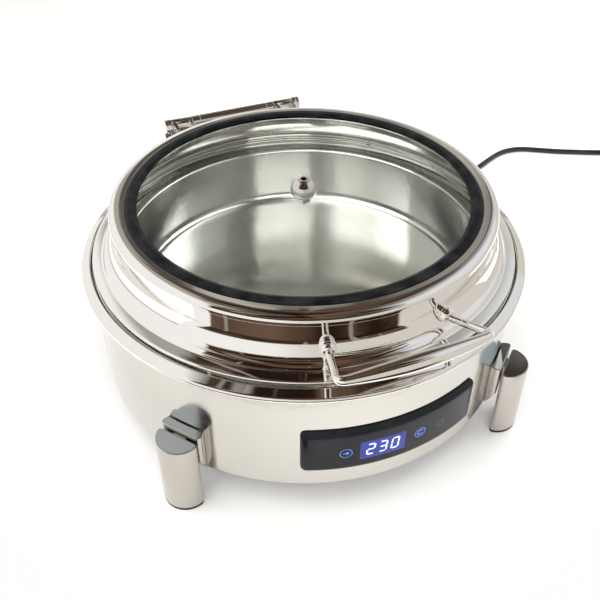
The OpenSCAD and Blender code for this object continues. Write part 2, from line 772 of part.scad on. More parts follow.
module handle_screws() {
    color("silver") for (side = [-1, 1]) outwards(-90 + side * arm_angle, neck_r - sheet_t, handle_z) {
        translate([0, 0, -3.4]) cylinder(r = 4.2, h = 3, $fn = 24);
        translate([0, 0, -1]) cylinder(r = 2.4, h = 1 + sheet_t, $fn = 24);
    }
}

// ---- lid side of the hinge ----

module lid_arm(side) {
    pad_from = asin((knuckle_x - 2) / neck_r);
    pad_to = asin((knuckle_x + knuckle_l + 2) / neck_r);
    pad_mid = (pad_from + pad_to) / 2;
    start = side > 0 ? knuckle_x : -knuckle_x - knuckle_l;
    color("silver") difference() {
        union() {
            on_hinge(start) cylinder(r = barrel_r, h = knuckle_l);
            sector(90 - side * pad_mid, (pad_to - pad_from) / 2) translate([neck_r + fit_gap, arm_pad_z])
                square([arm_pad_t, arm_pad_h]);
            for (x = [0, knuckle_l - arm_web_t]) translate([start + x, 0, arm_pad_z + 1])
                difference() {
                    translate([0, neck_r - 40, 0]) cube([arm_web_t, hinge_y - neck_r + 40, arm_pad_h - 2]);
                    translate([-start - x, 0, -1]) cylinder(r = neck_r + 1, h = arm_pad_h + 2, $fn = 180);
                }
        }
        on_hinge(start - 1) cylinder(r = pin_r + run_gap, h = knuckle_l + 2);
    }
}

module lid_pads() {
    pad_top = flange_z - fit_gap;
    pad_low = seat_z + 5.2 + move_gap;
    color("ivory") for (a = [45:90:315]) rotate([0, 0, a]) translate([lid_r - 3.4, 0, pad_low])
        cylinder(r = 2.2, h = pad_top - pad_low, $fn = 32);
}

// ---- the assembly ----

drum_shell();
drum_rim();
water_pan();
bottom_cover();
cover_screws();
heating_plate();
heating_element();
thermostat();
thermal_cutout();
heat_shield();
shield_studs();
panel_lens();
panel_frame();
display_module();
control_board();
board_posts();
power_board();
terminal_block();
heater_leads();
leg_screws();
for (k = [1:4]) {
    leg_tube(k);
    leg_backing(k);
    leg_foot(k);
}
cord_gland();
cord_relief();
cord();
cord_coil();
cord_tail();
plug_body();
plug_pins();
hinge_bracket();
hinge_barrel();
hinge_dampers();
hinge_pin();
hinge_caps();
hinge_screws();
food_pan();
lid_neck();
lid_ring();
gasket();
glass();
vent_knob();
knob_seal();
knob_nut();
handle_bosses();
handle_bar();
handle_screws();
lid_arm(-1);  // lid_arm_left
lid_arm(1);  // lid_arm_right
lid_pads();
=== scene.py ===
import json
import bmesh
import bpy
import numpy as np
from mathutils import Matrix, Vector


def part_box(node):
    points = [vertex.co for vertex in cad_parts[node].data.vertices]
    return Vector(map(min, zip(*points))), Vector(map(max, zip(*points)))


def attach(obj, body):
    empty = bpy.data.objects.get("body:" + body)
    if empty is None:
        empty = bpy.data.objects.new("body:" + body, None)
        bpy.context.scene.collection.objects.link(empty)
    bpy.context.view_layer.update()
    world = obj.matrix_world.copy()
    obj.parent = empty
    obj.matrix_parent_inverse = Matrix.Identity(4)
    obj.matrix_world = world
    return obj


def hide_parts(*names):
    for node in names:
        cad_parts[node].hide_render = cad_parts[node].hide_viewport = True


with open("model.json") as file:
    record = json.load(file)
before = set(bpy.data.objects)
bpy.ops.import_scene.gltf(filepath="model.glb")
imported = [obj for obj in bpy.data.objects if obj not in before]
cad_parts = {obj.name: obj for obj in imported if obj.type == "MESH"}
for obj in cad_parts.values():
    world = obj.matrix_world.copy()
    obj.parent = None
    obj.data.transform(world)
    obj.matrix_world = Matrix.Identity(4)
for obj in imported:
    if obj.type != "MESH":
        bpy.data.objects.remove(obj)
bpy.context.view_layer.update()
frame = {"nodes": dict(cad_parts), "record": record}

mm = 0.001  # every shape below is worked out in millimetres and scaled once
tau = 2 * np.pi


def low(node):
    return np.array(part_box(node)[0]) / mm


def high(node):
    return np.array(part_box(node)[1]) / mm


# ---- camera, floor and light ----

camera = {"place": (-0.2574, -0.6063, 0.6271), "pitch": 39.75, "turn": -22.69, "lens": 46.8}
# The table ends in a round front just before the object; beyond it lies a dim brown room with paler streaks.
studio = {"floor": (0.93, 0.925, 0.91), "backdrop": (1.0, 0.995, 0.985), "cream": (0.72, 0.69, 0.64),
          "darkRoom": (0.020, 0.011, 0.007), "brownRoom": (0.15, 0.095, 0.065),
          "beigeWall": (0.42, 0.40, 0.35), "ceiling": (0.30, 0.295, 0.27),
          "darkCeiling": (0.09, 0.085, 0.075), "coolCeiling": (0.80, 0.83, 0.86), "creamFrom": (-0.35, 0.2),
          "coolFrom": (0.35, 0.6), "beigeFrom": (-0.22, -0.30), "whiteFrom": (-0.44, -0.54),
          "roofFrom": (0.30, 0.42), "widening": 0.9, "brownLeft": (-0.36, -0.28), "brownRight": (0.37, 0.29),
          "brownBack": (0.77, 0.70), "bandLow": (-0.42, -0.34), "bandHigh": (0.60, 0.50), "frontR": 360,
          "frontAngles": (-162, -28), "floorReach": 6000}
lamps = {"keyLamp": {"place": (-0.9, -0.2, 1.8), "aim": (0, 0, 0.1), "size": 1.8, "power": 32.5},
         "fillLamp": {"place": (1.2, 0.3, 1.6), "aim": (0, 0, 0.1), "size": 1.8, "power": 26},
         "frontLamp": {"place": (-0.2, -1.6, 1.3), "aim": (0, 0, 0), "size": 1.2, "power": 13}}

optics = bpy.data.cameras.new("camera")
optics.lens = camera["lens"]
optics.sensor_width = 36
optics.clip_start = 0.02
viewer = bpy.data.objects.new("camera", optics)
viewer.location = camera["place"]
viewer.rotation_euler = np.radians((90 - camera["pitch"], 0, camera["turn"]))
bpy.context.scene.collection.objects.link(viewer)
bpy.context.scene.camera = viewer
bpy.context.scene.view_settings.view_transform = "Standard"


def feed(tree, socket, value):
    # Links the socket to another one, or sets it to a constant.
    if isinstance(value, bpy.types.NodeSocket):
        tree.links.new(value, socket)
    else:
        socket.default_value = value


def add(tree, kind, settings=None, inputs=None):
    node = tree.nodes.new(kind)
    for key, value in (settings or {}).items():
        setattr(node, key, value)
    for key, value in (inputs or {}).items():
        feed(tree, node.inputs[key], value)
    return node


def noise(tree, place, scale, detail):
    return add(tree, "ShaderNodeTexNoise", None,
               {"Vector": place, "Scale": scale, "Detail": detail}).outputs[0]


def cellEdges(tree, place, scale):
    return add(tree, "ShaderNodeTexVoronoi", {"feature": "DISTANCE_TO_EDGE"},
               {"Vector": place, "Scale": scale}).outputs[0]


def vector(tree, x, y, z=0.0):
    return add(tree, "ShaderNodeCombineXYZ", None, {0: x, 1: y, 2: z}).outputs[0]


def maths(tree, operation, a, b=0.0, clamp=False):
    return add(tree, "ShaderNodeMath", {"operation": operation, "use_clamp": clamp}, {0: a, 1: b}).outputs[0]


def smooth(tree, value, start, end, least=0.0, most=1.0):
    # Value's place between start and end, smoothed, as a number between least and most.
    return add(tree, "ShaderNodeMapRange", {"interpolation_type": "SMOOTHSTEP"},
               {0: value, 1: start, 2: end, 3: least, 4: most}).outputs[0]


def mixed(tree, share, a, b):
    # Colour a where share is 0, colour b where it is 1.
    node = add(tree, "ShaderNodeMix", {"data_type": "RGBA"})
    feed(tree, node.inputs[0], share)
    for key, colour in ((6, a), (7, b)):
        feed(tree, node.inputs[key], colour if isinstance(colour, bpy.types.NodeSocket) else (*colour, 1))
    return node.outputs[2]


def softRoom():
    # White at the left, cream at the right, a grey ceiling with paler strips, and brown on the viewer's side.
    # Each
    # limit is a pair of cosines between which one colour turns into the next.
    world = bpy.data.worlds.new("softRoom")
    bpy.context.scene.world = world
    world.use_nodes = True
    tree = world.node_tree
    tree.nodes.clear()
    aim = add(tree, "ShaderNodeTexCoord").outputs["Generated"]
    turned = add(tree, "ShaderNodeMapping", {"vector_type": "VECTOR"},
                 {"Vector": aim, "Rotation": (0, 0, -np.radians(camera["turn"]))}).outputs[0]
    side, away, height = add(tree, "ShaderNodeSeparateXYZ", None, {0: turned}).outputs[:3]
    turn = maths(tree, "ARCTAN2", side, maths(tree, "MULTIPLY", away, -1.0))
    cloud = noise(tree, vector(tree, turn, maths(tree, "MULTIPLY", height, 0.8)), 2.3, 3.0)
    layer = vector(tree, maths(tree, "MULTIPLY", turn, 0.5), maths(tree, "MULTIPLY", height, 5.0))
    upright = vector(tree, maths(tree, "MULTIPLY", turn, 2.2), maths(tree, "MULTIPLY", height, 0.5))
    column = noise(tree, upright, 2.6, 1.0)
    uneven = maths(tree, "MULTIPLY", maths(tree, "SUBTRACT", cloud, 0.5), 0.5)
    brown = mixed(tree, smooth(tree, noise(tree, layer, 1.7, 2.0), 0.42, 0.66), studio["darkRoom"],
                  studio["brownRoom"])
    brown = mixed(tree, smooth(tree, cloud, 0.60, 0.72, 0.0, 0.55), brown, studio["cream"])
    brown = mixed(tree, smooth(tree, column, 0.60, 0.66, 0.0, 0.35), brown, studio["cream"])
    sides = mixed(tree, smooth(tree, side, *studio["creamFrom"]), studio["backdrop"], studio["cream"])
    top = mixed(tree, smooth(tree, column, 0.42, 0.54), studio["darkCeiling"], studio["ceiling"])
    top = mixed(tree, smooth(tree, cloud, 0.56, 0.64, 0.0, 0.5), top, studio["cream"])
    for start, colour in (("coolFrom", "coolCeiling"), ("beigeFrom", "beigeWall"), ("whiteFrom", "backdrop")):
        top = mixed(tree, smooth(tree, side, *studio[start]), top, studio[colour])
    room = mixed(tree, smooth(tree, maths(tree, "ADD", height, uneven), *studio["roofFrom"]), sides, top)
    # The brown part reaches a little past overhead and widens towards the viewer's side.
    widened = maths(tree, "MULTIPLY", maths(tree, "MINIMUM", away, 0.0), -studio["widening"])
    across = maths(tree, "ADD", side, uneven)
    near = maths(tree, "MULTIPLY", smooth(tree, maths(tree, "ADD", across, widened), *studio["brownLeft"]),
                 smooth(tree, maths(tree, "SUBTRACT", across, widened), *studio["brownRight"]))
    near = maths(tree, "MULTIPLY", near, smooth(tree, maths(tree, "ADD", away, uneven), *studio["brownBack"]))
    # A bright band lies between its lower and its upper half.
    level = maths(tree, "MULTIPLY", smooth(tree, height, *studio["bandLow"]),
                  smooth(tree, height, *studio["bandHigh"]))
    level = maths(tree, "MULTIPLY", level, smooth(tree, away, 0.1, 0.0))
    near = maths(tree, "MULTIPLY", near, maths(tree, "SUBTRACT", 1.0, level))
    room = mixed(tree, near, mixed(tree, level, room, sides), brown)
    seen = add(tree, "ShaderNodeLightPath").outputs["Is Camera Ray"]
    glow = add(tree, "ShaderNodeBackground", None, {"Color": mixed(tree, seen, room, studio["backdrop"])})
    out = add(tree, "ShaderNodeOutputWorld")
    tree.links.new(glow.outputs[0], out.inputs[0])


def softLamp(name, settings):
    # A square lamp that lights the matt surfaces and doesn't show in the polished ones.
    light = bpy.data.lights.new(name, "AREA")
    light.size = settings["size"]
    light.energy = settings["power"]
    thing = bpy.data.objects.new(name, light)
    thing.location = settings["place"]
    thing.rotation_euler = (Vector(settings["aim"]) - thing.location).to_track_quat("-Z", "Y").to_euler()
    thing.visible_glossy = False
    bpy.context.scene.collection.objects.link(thing)


softRoom()
for lampName, lampSettings in lamps.items():
    softLamp(lampName, lampSettings)
print("camera and light ready")

# ---- shapes ----


def makeMesh(name, points, faces, smoothed=True):
    mesh = bpy.data.meshes.new(name)
    mesh.from_pydata(np.asarray(points) * mm, [], faces)
    work = bmesh.new()
    work.from_mesh(mesh)
    bmesh.ops.remove_doubles(work, verts=work.verts, dist=1e-7)
    bmesh.ops.recalc_face_normals(work, faces=work.faces)
    if work.calc_volume(signed=True) < 0:
        bmesh.ops.reverse_faces(work, faces=work.faces)
    work.to_mesh(mesh)
    work.free()
    mesh.shade_smooth() if smoothed else mesh.shade_flat()
    thing = bpy.data.objects.new(name, mesh)
    bpy.context.scene.collection.objects.link(thing)
    return thing


def gridFaces(rows, columns, wrapRows, wrapColumns, start=0):
    # Quads between neighbours of a rows x columns grid of points, round the seam where it wraps.
    i, j = np.meshgrid(np.arange(rows - (not wrapRows)), np.arange(columns - (not wrapColumns)),
                       indexing="ij")
    a = i * columns + j
    b = i * columns + (j + 1) % columns
    c = (i + 1) % rows * columns + (j + 1) % columns
    d = (i + 1) % rows * columns + j
    return (np.stack([a, b, c, d], -1).reshape(-1, 4) + start).tolist()


def sideName(side):
    return "left" if side < 0 else "right"


def rounded(corners, closed=True):
    # Corner k is (r, z, radius): its arc touches both sides at radius x tan(half turn) from the corner, and a
    # point
    # a little before and after each arc keeps the flats flat.
    turnStep, guard = 10.0, 0.12  # degrees in one step of an arc, and share of its radius
    corners = [np.array(c, float) for c in corners]
    count = len(corners)
    out = []
    for k, here in enumerate(corners):
        p = here[:2]
        if not closed and k in (0, count - 1):
            out.append(p[None])
            continue
        before = corners[k - 1][:2] - p
        after = corners[(k + 1) % count][:2] - p
        u, v = before / np.hypot(*before), after / np.hypot(*after)
        turn = np.pi - np.arccos(np.clip(u @ v, -1, 1))
        if turn < 0.01 or here[2] < 0.01:
            out.append(p[None])
            continue
        reach = here[2] * np.tan(turn / 2)
        middle = p + (u + v) / np.hypot(*(u + v)) * here[2] / np.cos(turn / 2)
        steps = max(2, int(np.ceil(np.degrees(turn) / turnStep)))
        first = p + u * reach - middle
        spin = np.sign(u[1] * v[0] - u[0] * v[1]) * np.linspace(0, turn, steps + 1)
        arc = middle + np.stack([first[0] * np.cos(spin) - first[1] * np.sin(spin),
                                 first[0] * np.sin(spin) + first[1] * np.cos(spin)], 1)
        margin = guard * here[2]
        out += [(arc[0] + u * margin)[None], arc, (arc[-1] + v * margin)[None]]
    return np.concatenate(out)


def ellipse(middle, across, up, start, end, steps=16):
    # middle + (across x cos t, up x sin t) for t from start to end, in degrees.
    t = np.radians(np.linspace(start, end, steps + 1))
    return np.stack([middle[0] + across * np.cos(t), middle[1] + up * np.sin(t)], 1)


def sheetEdge(path, thick):
    # The closed outline of a sheet: the path, then the path moved by thick to its left, run backwards. A
    # point a
    # little in from each end keeps the faces beside the cut edge flat.
    guard = 0.3
    first, last = path[1] - path[0], path[-2] - path[-1]
    path = np.vstack([path[:1], path[:1] + guard * first / np.hypot(*first), path[1:-1],
                      path[-1:] + guard * last / np.hypot(*last), path[-1:]])
    step = np.diff(path, axis=0)
    step /= np.hypot(step[:, 0], step[:, 1])[:, None]
    before = np.vstack([step[:1], step])
    after = np.vstack([step, step[-1:]])
    normal = np.stack([-(before + after)[:, 1], (before + after)[:, 0]], 1)
    normal /= np.hypot(normal[:, 0], normal[:, 1])[:, None]
    stretch = np.stack([-before[:, 1], before[:, 0]], 1)
    shift = thick / np.maximum((normal * stretch).sum(1), 0.4)
    return np.vstack([path, (path + normal * shift[:, None])[::-1]])


def turned(name, outline, segments=256, place=None):
    # (r cos a, r sin a, z) for each outline point (r, z) and each angle a; place sets the axis elsewhere.
    a = np.arange(segments) * tau / segments
    r, z = outline[:, 0][:, None], outline[:, 1][:, None]
    points = np.stack([r * np.cos(a), r * np.sin(a), z + 0 * a], -1).reshape(-1, 3)
    if place is not None:
        points = np.array([place @ Vector(p) for p in points])
    return makeMesh(name, points, gridFaces(len(outline), segments, True, True))


def swept(name, route, widths, sides):
    # Rings of (width cos t, width sin t) square to the route, closed by a fan at each end.
    route = np.asarray(route, float)
    ahead = np.gradient(route, axis=0)
    ahead /= np.linalg.norm(ahead, axis=1)[:, None]
    across = np.cross(ahead, (0, 0, 1))
    across /= np.linalg.norm(across, axis=1)[:, None]
    upward = np.cross(across, ahead)
    t = np.arange(sides) * tau / sides
    widths = np.broadcast_to(widths, len(route))[:, None, None]
    rings = (route[:, None] + widths * np.cos(t)[None, :, None] * across[:, None]
             + widths * np.sin(t)[None, :, None] * upward[:, None])
    count = len(route) * sides
    points = np.vstack([rings.reshape(-1, 3), route[:1], route[-1:]])
    faces = gridFaces(len(route), sides, False, True)
    for centre, first in ((count, 0), (count + 1, count - sides)):
        faces += [(centre, first + k, first + (k + 1) % sides) for k in range(sides)]
    return makeMesh(name, points, faces)


def prism(name, outline, bottom, top, edge, place, lift=None):
    # The outline raised from bottom to top; its rim is rounded by stepping inwards edge x (1 - cos t) while
    # it
    # rises edge x sin t, and flat caps close it. lift gives the extra height of the lower end at each x.
    step = np.roll(outline, -1, 0) - np.roll(outline, 1, 0)
    normal = np.stack([step[:, 1], -step[:, 0]], 1) / np.hypot(step[:, 0], step[:, 1])[:, None]
    t = np.radians(np.linspace(0, 90, 6))
    inset = np.concatenate([edge * (1 - np.cos(t[::-1])), edge * (1 - np.cos(t))])
    level = np.concatenate([bottom + edge * (1 - np.sin(t[::-1])), top - edge * (1 - np.sin(t))])
    inset = np.concatenate([[edge + 0.25], inset, [edge + 0.25]])
    level = np.concatenate([[bottom], level, [top]])
    rings = [np.column_stack([outline - normal * d, np.full(len(outline), h)]) for d, h in zip(inset, level)]
    for ring in rings[:len(rings) // 2] if lift else ():
        ring[:, 2] += lift(ring[:, 0])
    points = np.array([place @ Vector(p) for p in np.vstack(rings)])
    faces = gridFaces(len(rings), len(outline), False, True)
    count = len(outline)
    faces += [list(range(count)), list(range((len(rings) - 1) * count, len(rings) * count))]
    return makeMesh(name, points, faces)


def slab(name, halfWide, halfHigh, cornerR, layers, onto, along=28):
    # Rounded rectangles shrunk by each layer's inset at its height, then closed over the middle line; onto
    # carries
    # (across, up, height) to its place.
    cornerSteps = 7

    def ring(inset):
        a, b = halfWide - inset, halfHigh - inset
        r = max(min(cornerR - inset, b), 0.0)
        sides = []
        for turn, (cx, cy) in enumerate(((a - r, b - r), (r - a, b - r), (r - a, r - b), (a - r, r - b))):
            sides.append(ellipse((cx, cy), r, r, 90 * turn, 90 * turn + 90, cornerSteps))
            nextX = (r - a, r - a, a - r, a - r)[turn]
            if turn % 2 == 0:
                sides.append(np.column_stack([np.linspace(cx, nextX, along)[1:-1],
                                              np.full(along - 2, sides[-1][-1, 1])]))
        return np.vstack(sides)
    innermost = layers[-1][1]
    shrink = [inset for inset, level in layers]
    fill = np.linspace(shrink[-1], halfHigh, 6)[1:]
    rings = [np.column_stack([ring(i), np.full(len(ring(i)), h)])
             for i, h in list(layers) + [(f, innermost) for f in fill]]
    base = np.column_stack([ring(halfHigh), np.full(len(ring(0)), layers[0][1])])
    rings = [base] + rings
    points = onto(np.vstack(rings))
    return makeMesh(name, points, gridFaces(len(rings), len(rings[0]), False, True))


def softened(node, width):
    # A copy of a plain CAD piece with its sharp edges eased.
    source = frame["nodes"][node]
    work = bmesh.new()
    work.from_mesh(source.data)
    bmesh.ops.remove_doubles(work, verts=work.verts, dist=2e-6)
    bmesh.ops.dissolve_limit(work, angle_limit=np.radians(1.0), verts=work.verts, edges=work.edges)
    mesh = bpy.data.meshes.new(node + "_eased")
    work.to_mesh(mesh)
    work.free()
    thing = bpy.data.objects.new(node + "_eased", mesh)
    bpy.context.scene.collection.objects.link(thing)
    mesh.shade_smooth()
    ease = thing.modifiers.new("ease", "BEVEL")
    ease.width = width * mm
    ease.segments = 2
    ease.limit_method = "ANGLE"
    ease.angle_limit = np.radians(35)
    ease.harden_normals = True
    return thing


# ---- shared surface effects ----

def newGroup(name, takes, gives):
    group = bpy.data.node_groups.new(name, "ShaderNodeTree")
    for label, kind, value in takes:
        socket = group.interface.new_socket(label, in_out="INPUT", socket_type=kind)
        if value is not None:
            socket.default_value = value
    for label, kind in gives:
        group.interface.new_socket(label, in_out="OUTPUT", socket_type=kind)
    return group, group.nodes.new("NodeGroupInput").outputs, group.nodes.new("NodeGroupOutput").inputs


def sheetWaves():
    # Slow dents of a rolled sheet plus a faint orange peel, as a height from 0 to 1.
    group, takes, gives = newGroup("sheetWaves", [("Vector", "NodeSocketVector", None),
                                                  ("Slow", "NodeSocketFloat", 9.0),
                                                  ("Peel", "NodeSocketFloat", 90.0),
                                                  ("Peel share", "NodeSocketFloat", 0.06)],
                                   [("Height", "NodeSocketFloat")])
    slow = noise(group, takes[0], takes[1], 1.0)
    peel = noise(group, takes[0], takes[2], 1.0)
    group.links.new(maths(group, "ADD", slow, maths(group, "MULTIPLY", peel, takes[3])), gives[0])
    return group


def brushLines():
    # Fine grit lines: noise on stretched coordinates in two widths, from 0 to 1.
    group, takes, gives = newGroup("brushLines", [("Vector", "NodeSocketVector", None),
                                                  ("Fineness", "NodeSocketFloat", 1.0)],
                                   [("Lines", "NodeSocketFloat")])
    fine = noise(group, takes[0], takes[1], 3.0)
    wide = noise(group, takes[0], maths(group, "MULTIPLY", takes[1], 0.23), 2.0)
    group.links.new(maths(group, "ADD", maths(group, "MULTIPLY", fine, 0.65),
                          maths(group, "MULTIPLY", wide, 0.35)), gives[0])
    return group


def handlingMarks():
    # Wiped smears and a few hairline scratches: Smear is soft patches, Scratch is thin broken lines.
    group, takes, gives = newGroup("handlingMarks", [("Vector", "NodeSocketVector", None),
                                                     ("Size", "NodeSocketFloat", 26.0)],
                                   [("Smear", "NodeSocketFloat"), ("Scratch", "NodeSocketFloat")])
    patch = noise(group, takes[0], takes[1], 2.0)
    group.links.new(smooth(group, patch, 0.40, 0.80), gives[0])
    warp = add(group, "ShaderNodeMapping", None, {"Vector": takes[0], "Rotation": (0.4, 0.9, 0.3),
                                                  "Scale": (1.0, 0.05, 0.4)}).outputs[0]
    cells = cellEdges(group, warp, 70.0)
    thin = smooth(group, cells, 0.006, 0.001)
    broken = smooth(group, patch, 0.55, 0.70)
    group.links.new(maths(group, "MULTIPLY", thin, broken), gives[1])
    return group


def settledDust():
    # Pale dust where the surface faces up, in uneven patches.
    group, takes, gives = newGroup("settledDust", [("Vector", "NodeSocketVector", None),
                                                   ("Amount", "NodeSocketFloat", 0.3)],
                                                   [("Dust", "NodeSocketFloat")])
    facing = add(group, "ShaderNodeSeparateXYZ", None,
                 {0: add(group, "ShaderNodeNewGeometry").outputs["Normal"]}).outputs[2]
    uneven = noise(group, takes[0], 60.0, 5.0)
    cover = maths(group, "MULTIPLY", smooth(group, facing, 0.2, 1.0), smooth(group, uneven, 0.4, 0.75))
    group.links.new(maths(group, "MULTIPLY", cover, takes[1]), gives[0])
    return group


def mouldGrain():
    # The eroded skin of a moulded part: close round pits, as a height from 0 to 1.
    group, takes, gives = newGroup("mouldGrain", [("Vector", "NodeSocketVector", None),
                                                  ("Fineness", "NodeSocketFloat", 1800.0)],
                                   [("Height", "NodeSocketFloat")])
    pits = add(group, "ShaderNodeTexVoronoi", {"feature": "SMOOTH_F1"},
               {"Vector": takes[0], "Scale": takes[1], "Smoothness": 0.8}).outputs[0]
    cloud = noise(group, takes[0], maths(group, "MULTIPLY", takes[1], 0.3), 3.0)
    group.links.new(maths(group, "ADD", pits, cloud), gives[0])
    return group


effects = {make.__name__: make() for make in (sheetWaves, brushLines, handlingMarks, settledDust, mouldGrain)}


def effect(tree, name, inputs):
    return add(tree, "ShaderNodeGroup", {"node_tree": effects[name]}, inputs).outputs


# ---- materials ----

finishes = {}


def blankFinish(name):
    material = bpy.data.materials.new(name)
    material.use_nodes = True
    finishes[name] = material
    tree = material.node_tree
    shader = tree.nodes["Principled BSDF"]
    return tree, shader, add(tree, "ShaderNodeTexCoord").outputs["Object"]


def bumped(tree, shader, height, depth, under=None):
    # depth is in millimetres for a height of 0 to 1.
    inputs = {"Strength": 1.0, "Distance": depth * mm, "Height": height}
    if under is not None:
        inputs["Normal"] = under
    bump = add(tree, "ShaderNodeBump", None, inputs).outputs[0]
    tree.links.new(bump, shader.inputs["Normal"])
    return bump


def steel(name, colour, rough, waves=(9.0, 0.6), brush=None, brushDepth=0.0, aniso=0.0, marks=0.06, size=26.0,
          shift=0.08):
    # Polished or brushed metal. brush is the grain's stretch along x, y, z, or "turned" for rings round the
    # drum's axis.
    tree, shader, place = blankFinish(name)
    marksOut = effect(tree, "handlingMarks", {"Vector": place, "Size": size})
    wave = effect(tree, "sheetWaves", {"Vector": place, "Slow": waves[0]})["Height"]
    normal = bumped(tree, shader, wave, waves[1])
    share = marksOut["Smear"]
    if brush is not None:
        if brush == "turned":
            part = add(tree, "ShaderNodeSeparateXYZ", None, {0: place}).outputs
            flat = vector(tree, part[0], part[1])
            radius = add(tree, "ShaderNodeVectorMath", {"operation": "LENGTH"}, {0: flat}).outputs["Value"]
            angle = maths(tree, "MULTIPLY", maths(tree, "ARCTAN2", part[1], part[0]), 0.004)
            grain = vector(tree, radius, angle, part[2])
        else:
            grain = add(tree, "ShaderNodeMapping", None, {"Vector": place, "Scale": brush}).outputs[0]
        lines = effect(tree, "brushLines", {"Vector": grain, "Fineness": 1500.0})["Lines"]
        bumped(tree, shader, lines, brushDepth, normal)
        share = maths(tree, "ADD", share, maths(tree, "MULTIPLY", maths(tree, "SUBTRACT", lines, 0.5), 1.6),
                      True)
    roughness = smooth(tree, share, 0.0, 1.0, rough, rough + marks)
    tree.links.new(maths(tree, "ADD", roughness, maths(tree, "MULTIPLY", marksOut["Scratch"], 0.06)),
                   shader.inputs["Roughness"])
    tint = noise(tree, place, 5.0, 2.0)
    darker = [c * (1 - shift) for c in colour]
    tree.links.new(mixed(tree, maths(tree, "ADD", maths(tree, "MULTIPLY", tint, 0.7),
                                     maths(tree, "MULTIPLY", marksOut["Smear"], 0.3)), colour, darker),
                   shader.inputs["Base Color"])
    shader.inputs["Metallic"].default_value = 1.0
    if aniso:
        shader.inputs["Anisotropic"].default_value = aniso
        shader.inputs["Anisotropic Rotation"].default_value = 0.25
        tangent = add(tree, "ShaderNodeTangent", {"direction_type": "RADIAL", "axis": "Z"}).outputs[0]
        tree.links.new(tangent, shader.inputs["Tangent"])
    return finishes[name]


def moulded(name, colour, rough, grain=1800.0, depth=0.02, dust=0.15, coat=0.0, marks=0.12, specular=0.5):
    # Plastic, rubber or ceramic: moulded grain, handling marks and a little settled dust.
    tree, shader, place = blankFinish(name)
    marksOut = effect(tree, "handlingMarks", {"Vector": place, "Size": 45.0})
    bumped(tree, shader, effect(tree, "mouldGrain", {"Vector": place, "Fineness": grain})["Height"], depth)
    dusty = effect(tree, "settledDust", {"Vector": place, "Amount": dust})["Dust"]
    worn = maths(tree, "MULTIPLY", marksOut["Smear"], 0.5)
    lighter = [min(1.0, c * 1.5 + 0.01) for c in colour]
    skin = mixed(tree, worn, colour, lighter)
    tree.links.new(mixed(tree, dusty, skin, (0.42, 0.40, 0.37)), shader.inputs["Base Color"])
    tree.links.new(maths(tree, "ADD", smooth(tree, marksOut["Smear"], 0.0, 1.0, rough, rough + marks),
                         maths(tree, "MULTIPLY", dusty, 0.3), True), shader.inputs["Roughness"])
    shader.inputs["Specular IOR Level"].default_value = specular
    shader.inputs["Coat Weight"].default_value = coat
    shader.inputs["Coat Roughness"].default_value = 0.03
    return finishes[name]


steel("mirrorSteel", (0.90, 0.875, 0.84), 0.03, waves=(11.0, 0.5), marks=0.02)
steel("knobSteel", (0.66, 0.64, 0.61), 0.03, waves=(14.0, 0.2), marks=0.02)
steel("rimSteel", (0.88, 0.85, 0.81), 0.04, waves=(14.0, 0.35), marks=0.03)
steel("drumSteel", (0.64, 0.62, 0.575), 0.13, waves=(7.0, 2.2), brush=(0.02, 0.02, 1.0), brushDepth=0.002,
      marks=0.04, size=6.0, shift=0.13)
steel("legSteel", (0.52, 0.49, 0.45), 0.20, waves=(20.0, 0.4), brush=(1.0, 1.0, 0.02), brushDepth=0.006,
      marks=0.06)
# Leg tops: a polished finish, and a blue-grey tint that is a painted reflection of the cool ceiling.
steel("legTopPaintedReflection", (0.52, 0.56, 0.59), 0.03, waves=(16.0, 0.2), marks=0.03)
steel("panSteel", (0.76, 0.75, 0.715), 0.17, waves=(8.0, 0.9), brush="turned", brushDepth=0.004, aniso=0.8,
      marks=0.06, size=7.0)
steel("ledgeSteel", (0.82, 0.81, 0.78), 0.10, waves=(10.0, 0.6), brush="turned", brushDepth=0.003, aniso=0.4,
      marks=0.06)
steel("plainSteel", (0.58, 0.58, 0.57), 0.34, waves=(12.0, 0.6), brush=(0.04, 1.0, 1.0), brushDepth=0.01,
      marks=0.12)
steel("boltSteel", (0.70, 0.70, 0.68), 0.16, waves=(60.0, 0.15), brush=(1.0, 1.0, 0.3), brushDepth=0.004,
      marks=0.12)
steel("hingeChrome", (0.86, 0.84, 0.81), 0.04, waves=(26.0, 0.25), marks=0.05)
steel("castAluminium", (0.62, 0.62, 0.61), 0.38, waves=(90.0, 0.5), brush="turned", brushDepth=0.02,
      marks=0.12)
steel("elementSheath", (0.17, 0.15, 0.14), 0.42, waves=(70.0, 0.3), marks=0.15, shift=0.4)
steel("turnedBrass", (0.80, 0.60, 0.28), 0.22, waves=(60.0, 0.2), brush=(1.0, 1.0, 0.4), brushDepth=0.004,
      marks=0.12)
steel("pinNickel", (0.76, 0.73, 0.66), 0.16, waves=(80.0, 0.1), brush=(0.2, 1.0, 1.0), brushDepth=0.004,
      marks=0.12)
moulded("gasketRubber", (0.004, 0.0045, 0.006), 0.34, grain=2200.0, depth=0.008, dust=0.03, marks=0.08,
        specular=0.12)
moulded("footRubber", (0.012, 0.011, 0.011), 0.6, dust=0.1)
moulded("cordRubber", (0.010, 0.010, 0.011), 0.36, grain=2600.0, depth=0.008, dust=0.06)
moulded("plugPlastic", (0.014, 0.014, 0.015), 0.44, grain=1500.0, depth=0.02, dust=0.1)
moulded("panelPlastic", (0.05, 0.05, 0.055), 0.5, depth=0.03)
moulded("panelGloss", (0.007, 0.008, 0.012), 0.16, grain=300.0, depth=0.0006, dust=0.0, marks=0.03,
        specular=0.22)
moulded("damperPlastic", (0.06, 0.06, 0.065), 0.45)
moulded("whiteCeramic", (0.82, 0.81, 0.77), 0.2, coat=0.5)
moulded("milkySilicone", (0.62, 0.62, 0.60), 0.45, depth=0.01)
moulded("redSleeve", (0.45, 0.04, 0.03), 0.5)


